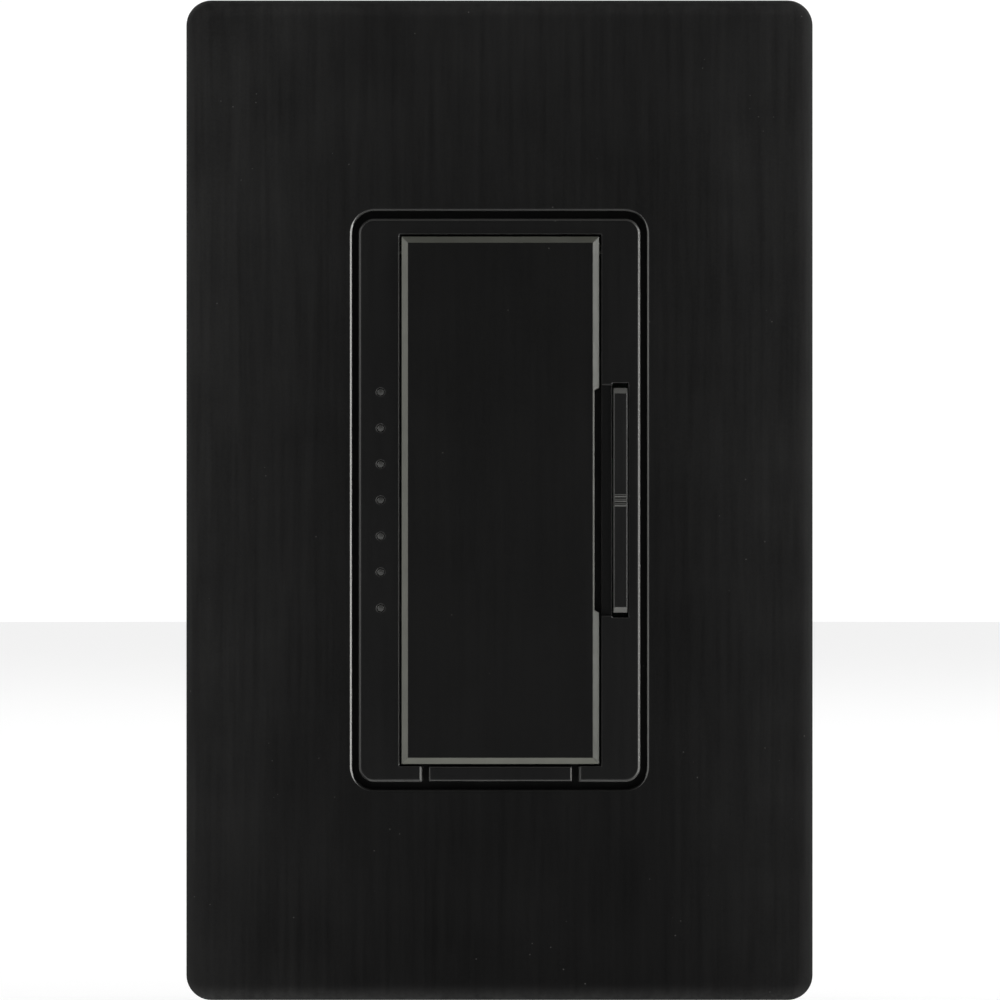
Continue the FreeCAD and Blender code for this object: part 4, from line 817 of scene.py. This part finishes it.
def placeScrews(places):
    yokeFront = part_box("yoke")[0].y
    makeScrews("boxScrews", boxScrew, [((0, yokeFront, end * places["boxHalf"]), (0, 1, 0))
                                       for end in sides])
    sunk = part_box("wallplate_adapter")[0].y + plateScrew["tall"]
    makeScrews("plateScrews", plateScrew, [((0, sunk, end * places["plateHalf"]), (0, 1, 0))
                                           for end in sides])
    makeScrews("earthScrewTurned", earthScrew, [(places["earth"], (1, 0, 0))])
    across, rear, up = places["column"]
    makeScrews("caseScrews", caseScrew, [((side * across, rear, end * up), (0, -1, 0))
                                         for side in sides for end in sides])
    # two terminals on the left and one at the upper right
    across, rear, up = places["terminal"]
    makeScrews("wireScrews", terminalScrew, [((side * across, rear, end * up), (-side, 0, 0))
                                             for side, end in ((-1, 1), (-1, -1), (1, 1))])


placeScrews(screwPlaces)
print("screws turned and threaded")

# millimetres; tip and end are the front and the rear of each finger
pipeLook = {
    "column": -14.13, "pitch": 4.28, "radius": 0.475, "tip": -7.86, "end": 0.25, "dome": 0.30,
    "railHalf": 15.0, "railWide": 2.2, "railFront": -2.0, "railBack": -0.8, "railRound": 0.2,
}


def addFinger(mesh, look, level):
    # one domed finger, with a flared collar where it leaves the rail
    forward = axisFrame((0, -1, 0))
    radius = look["radius"] * mm
    dome = look["dome"] * mm
    straight = (look["end"] - look["tip"]) * mm - dome
    profile = [(0.0, 0.0), (radius * 0.8, 0.0), (radius * 0.98, 0.06 * mm), (radius, straight)]
    for turn in range(1, 9):
        angle = math.radians(90 * turn / 8)
        profile.append((radius * math.cos(angle) if turn < 8 else 0.0,
                        straight + dome * math.sin(angle)))
    where = Matrix.Translation((look["column"] * mm, look["end"] * mm, level)) @ forward
    addTurned(mesh, profile, where, segments=40)
    collar = [(0.0, -0.01 * mm), (radius * 1.5, -0.01 * mm), (radius * 1.12, 0.10 * mm),
              (radius * 0.9, 0.34 * mm), (0.0, 0.34 * mm)]
    where = Matrix.Translation((look["column"] * mm, look["railFront"] * mm, level)) @ forward
    addTurned(mesh, collar, where, segments=40)


def makeLightPipe(look):
    # seven fingers on one rail, like the one moulding it is
    mesh = bmesh.new()
    for step in range(-3, 4):
        addFinger(mesh, look, step * look["pitch"] * mm)
    middle = (look["railFront"] + look["railBack"]) / 2
    fingerVerts = set(mesh.verts)
    addBlock(mesh, (look["railWide"] * mm, (look["railBack"] - look["railFront"]) * mm,
                    2 * look["railHalf"] * mm),
             Matrix.Translation((look["column"] * mm, middle * mm, 0)))
    railEdges = [edge for edge in mesh.edges if edge.verts[0] not in fingerVerts]
    bmesh.ops.bevel(mesh, geom=railEdges, offset=look["railRound"] * mm, segments=3,
                    affect="EDGES")
    data = toMesh("lightFingers", mesh)
    smoothMesh(data)
    piece = meshObject("lightFingers", data, "lightLens")
    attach(piece, "device")
    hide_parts("light_pipe")


makeLightPipe(pipeLook)

# millimetres; the header is soldered on the outer sides of the boards, the leads between them
solderLook = {
    "radius": 0.80, "neck": 0.34, "tall": 0.42, "pins": 8, "pinPitch": 2.54, "pinMiddle": -4.0,
    "pinLevel": 0.5, "pinFront": 1.0, "pinRear": 12.6, "leadFront": 11.0,
    "leads": [(-5.7, 18.4), (-3.2, 18.4), (-8.2, 18.4), (11.0, -20.6), (11.0, -4.4), (7.6, 10.5),
              (13.4, 10.5), (-8.4, 6.2), (-3.4, 6.2), (-13.6, -25.2), (3.6, -25.2), (9.3, 3.0),
              (11.8, 3.0)],
}


def addSolder(mesh, look, x, y, z, way):
    # a fillet of solder that climbs the pin, towards +Y or -Y
    where = Matrix.Translation((x * mm, y * mm, z * mm)) @ axisFrame((0, way, 0))
    wide = look["radius"] * mm
    neck = look["neck"] * mm
    tall = look["tall"] * mm
    profile = [(wide, 0.0), (wide * 0.96, tall * 0.07)]
    for step in range(1, 7):
        share = step / 6
        profile.append((neck + (wide - neck) * (1 - share) ** 2.2, tall * (0.07 + 0.8 * share)))
    profile.extend([(neck * 0.7, tall * 0.97), (0.0, tall)])
    addTurned(mesh, profile, where, segments=20)


def makeSolder(look):
    mesh = bmesh.new()
    for step in range(look["pins"]):
        x = look["pinMiddle"] + (step - (look["pins"] - 1) / 2) * look["pinPitch"]
        addSolder(mesh, look, x, look["pinFront"], look["pinLevel"], -1)
        addSolder(mesh, look, x, look["pinRear"], look["pinLevel"], 1)
    for x, z in look["leads"]:
        addSolder(mesh, look, x, look["leadFront"], z, -1)
    data = toMesh("solderJoints", mesh)
    smoothMesh(data, 50)
    piece = meshObject("solderJoints", data, "tinnedPin")
    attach(piece, "device")


makeSolder(solderLook)

# millimetres; spots are (across, up, turn in degrees) on the rear of the front board
chipLook = {
    "long": 1.6, "wide": 0.8, "tall": 0.45, "capLong": 0.32, "board": 2.2, "round": 0.05,
    "spots": [(-15.0, -22.0, 0), (-12.6, -22.0, 0), (-15.0, -18.0, 90), (-9.0, -17.5, 90),
              (-6.4, -17.5, 90), (6.0, -17.5, 0), (9.2, -17.5, 0), (6.0, -14.6, 0), (2.4, 6.4, 90),
              (4.8, 6.4, 90), (7.2, 6.4, 90), (2.4, 10.4, 90), (4.8, 10.4, 90), (7.2, 10.4, 90),
              (-13.4, 8.0, 0), (-13.4, 10.4, 0)],
}


def makeChips(look):
    # little surface parts with tinned end caps
    bodies = bmesh.new()
    caps = bmesh.new()
    long, wide, tall = look["long"] * mm, look["wide"] * mm, look["tall"] * mm
    capLong = look["capLong"] * mm
    for x, z, turn in look["spots"]:
        where = (Matrix.Translation((x * mm, look["board"] * mm + tall / 2, z * mm))
                 @ Matrix.Rotation(math.radians(turn), 4, "Y"))
        addBlock(bodies, (long * 0.78, tall * 0.92, wide * 0.96), where)
        for end in sides:
            shift = end * (long - capLong) / 2
            addBlock(caps, (capLong, tall, wide), where @ Matrix.Translation((shift, 0, 0)))
    for label, source, finish, slotName in (("chipBodies", bodies, "switchPlastic", "switch_black"),
                                            ("chipCaps", caps, "tinnedPin", "header_tin")):
        bmesh.ops.bevel(source, geom=list(source.edges), offset=look["round"] * mm, segments=2,
                        affect="EDGES")
        data = toMesh(label, source)
        smoothMesh(data)
        piece = meshObject(label, data, finish)
        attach(piece, "device")


makeChips(chipLook)
print("board details made")

# a white floor that looks dim in the object's gloss and bright to its soft light
floorLook = {
    "level": -0.0600, "half": 2.6, "thick": 0.01, "seen": 0.80, "inGloss": 0.12, "inSoft": 1.7,
    "paper": (0.30, 0.30, 0.30), "fibre": (0.33, 0.33, 0.33), "fibreScale": 60.0,
    "roughness": 0.9, "gloss": 0.1,
}


def paperMaterial(look):
    # pale fibrous paper that glows to stand in for a lit sweep
    mat, tree, shader = newMaterial("paperFloor")
    fibre = noiseNode(tree, piecePlace(tree), look["fibreScale"], 5.0)
    paper = mixColour(tree, fibre, colour(*look["paper"]), colour(*look["fibre"]))
    link(tree, paper, shader.inputs["Base Color"])
    shader.inputs["Roughness"].default_value = look["roughness"]
    shader.inputs["Specular IOR Level"].default_value = look["gloss"]
    shader.inputs["Emission Color"].default_value = colour(1.0, 1.0, 1.0)
    rays = tree.nodes.new("ShaderNodeLightPath").outputs
    dimmed = times(tree, rays["Is Glossy Ray"], look["inGloss"] - 1.0)
    lifted = times(tree, rays["Is Diffuse Ray"], look["inSoft"] - 1.0)
    glow = times(tree, look["seen"], plus(tree, 1.0, plus(tree, dimmed, lifted)))
    link(tree, glow, shader.inputs["Emission Strength"])
    return mat


def makeFloor(look):
    mesh = bmesh.new()
    profile = [(0.0, -look["thick"]), (look["half"], -look["thick"]), (look["half"], 0.0),
               (0.0, 0.0)]
    addTurned(mesh, profile, Matrix.Translation((0, 0, look["level"])), segments=96)
    materials["paperFloor"] = paperMaterial(look)
    meshObject("floor", toMesh("floor", mesh), "paperFloor")


makeFloor(floorLook)

# soft panels at both sides, a narrow bright one at the right and two behind
lightLook = {
    "leftPanel": {"place": (-0.80, -0.12, 0.15), "size": (0.7, 1.0), "power": 2.6},
    "rightPanel": {"place": (0.80, -0.12, 0.15), "size": (0.7, 1.0), "power": 3.0},
    "rightStrip": {"place": (0.90, -0.02, 0.02), "size": (0.16, 0.9), "power": 3.6},
    "backLeft": {"place": (-0.75, 0.85, 0.75), "size": (0.7, 0.7), "power": 4.0},
    "backRight": {"place": (0.75, 0.85, 0.75), "size": (0.7, 0.7), "power": 4.0},
}
for name, look in lightLook.items():
    lamp = bpy.data.lights.new(name, "AREA")
    lamp.shape = "RECTANGLE"
    lamp.size, lamp.size_y = look["size"]
    lamp.energy = look["power"]
    panel = bpy.data.objects.new(name, lamp)
    bpy.context.scene.collection.objects.link(panel)
    panel.location = look["place"]
    panel.rotation_euler = (-Vector(look["place"])).to_track_quat("-Z", "Y").to_euler()
    panel.visible_camera = False

skyLook = {"frontGloss": 0.10, "backGloss": 0.06, "soft": 0.75, "top": 0.05, "seen": 1.05}


def skyLayer(tree, strength):
    layer = tree.nodes.new("ShaderNodeBackground")
    layer.inputs["Color"].default_value = colour(1.0, 1.0, 1.0)
    feed(tree, layer.inputs["Strength"], strength)
    return layer.outputs["Background"]


def makeSky(look):
    # white to the camera, an even soft tent for the surfaces, and a dim wall in their gloss
    world = bpy.data.worlds.new("studio")
    bpy.context.scene.world = world
    world.use_nodes = True
    tree = world.node_tree
    tree.nodes.clear()
    way = splitVector(tree, tree.nodes.new("ShaderNodeTexCoord").outputs["Generated"])
    gloss = rangeNode(tree, way["Y"], -0.9, 0.5, look["frontGloss"], look["backGloss"])
    soft = rangeNode(tree, way["Z"], 0.1, 0.9, look["soft"], look["top"])
    rays = tree.nodes.new("ShaderNodeLightPath").outputs
    shown = skyLayer(tree, soft)
    for kind, strength in (("Is Glossy Ray", gloss), ("Is Camera Ray", look["seen"])):
        mix = tree.nodes.new("ShaderNodeMixShader")
        link(tree, rays[kind], mix.inputs["Fac"])
        link(tree, shown, mix.inputs[1])
        link(tree, skyLayer(tree, strength), mix.inputs[2])
        shown = mix.outputs["Shader"]
    end = tree.nodes.new("ShaderNodeOutputWorld")
    link(tree, shown, end.inputs["Surface"])


makeSky(skyLook)

# metres, but the lens and the film are in millimetres; frameWide is the width seen at the plate
cameraLook = {"lens": 250.0, "frameWide": 0.11889, "aim": (0.00006, 0.00003), "film": 36.0}
lens = bpy.data.cameras.new("camera")
lens.lens = cameraLook["lens"]
lens.sensor_width = cameraLook["film"]
lens.clip_start = 0.01
camera = bpy.data.objects.new("camera", lens)
bpy.context.scene.collection.objects.link(camera)
reach = cameraLook["frameWide"] * cameraLook["lens"] / cameraLook["film"]
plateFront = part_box("wallplate_cover")[0].y
camera.location = (cameraLook["aim"][0], plateFront - reach, cameraLook["aim"][1])
camera.rotation_euler = (math.radians(90), 0, 0)
bpy.context.scene.camera = camera
bpy.context.scene.view_settings.view_transform = "Standard"
print("stage, lights and camera set")

bpy.context.view_layer.update()
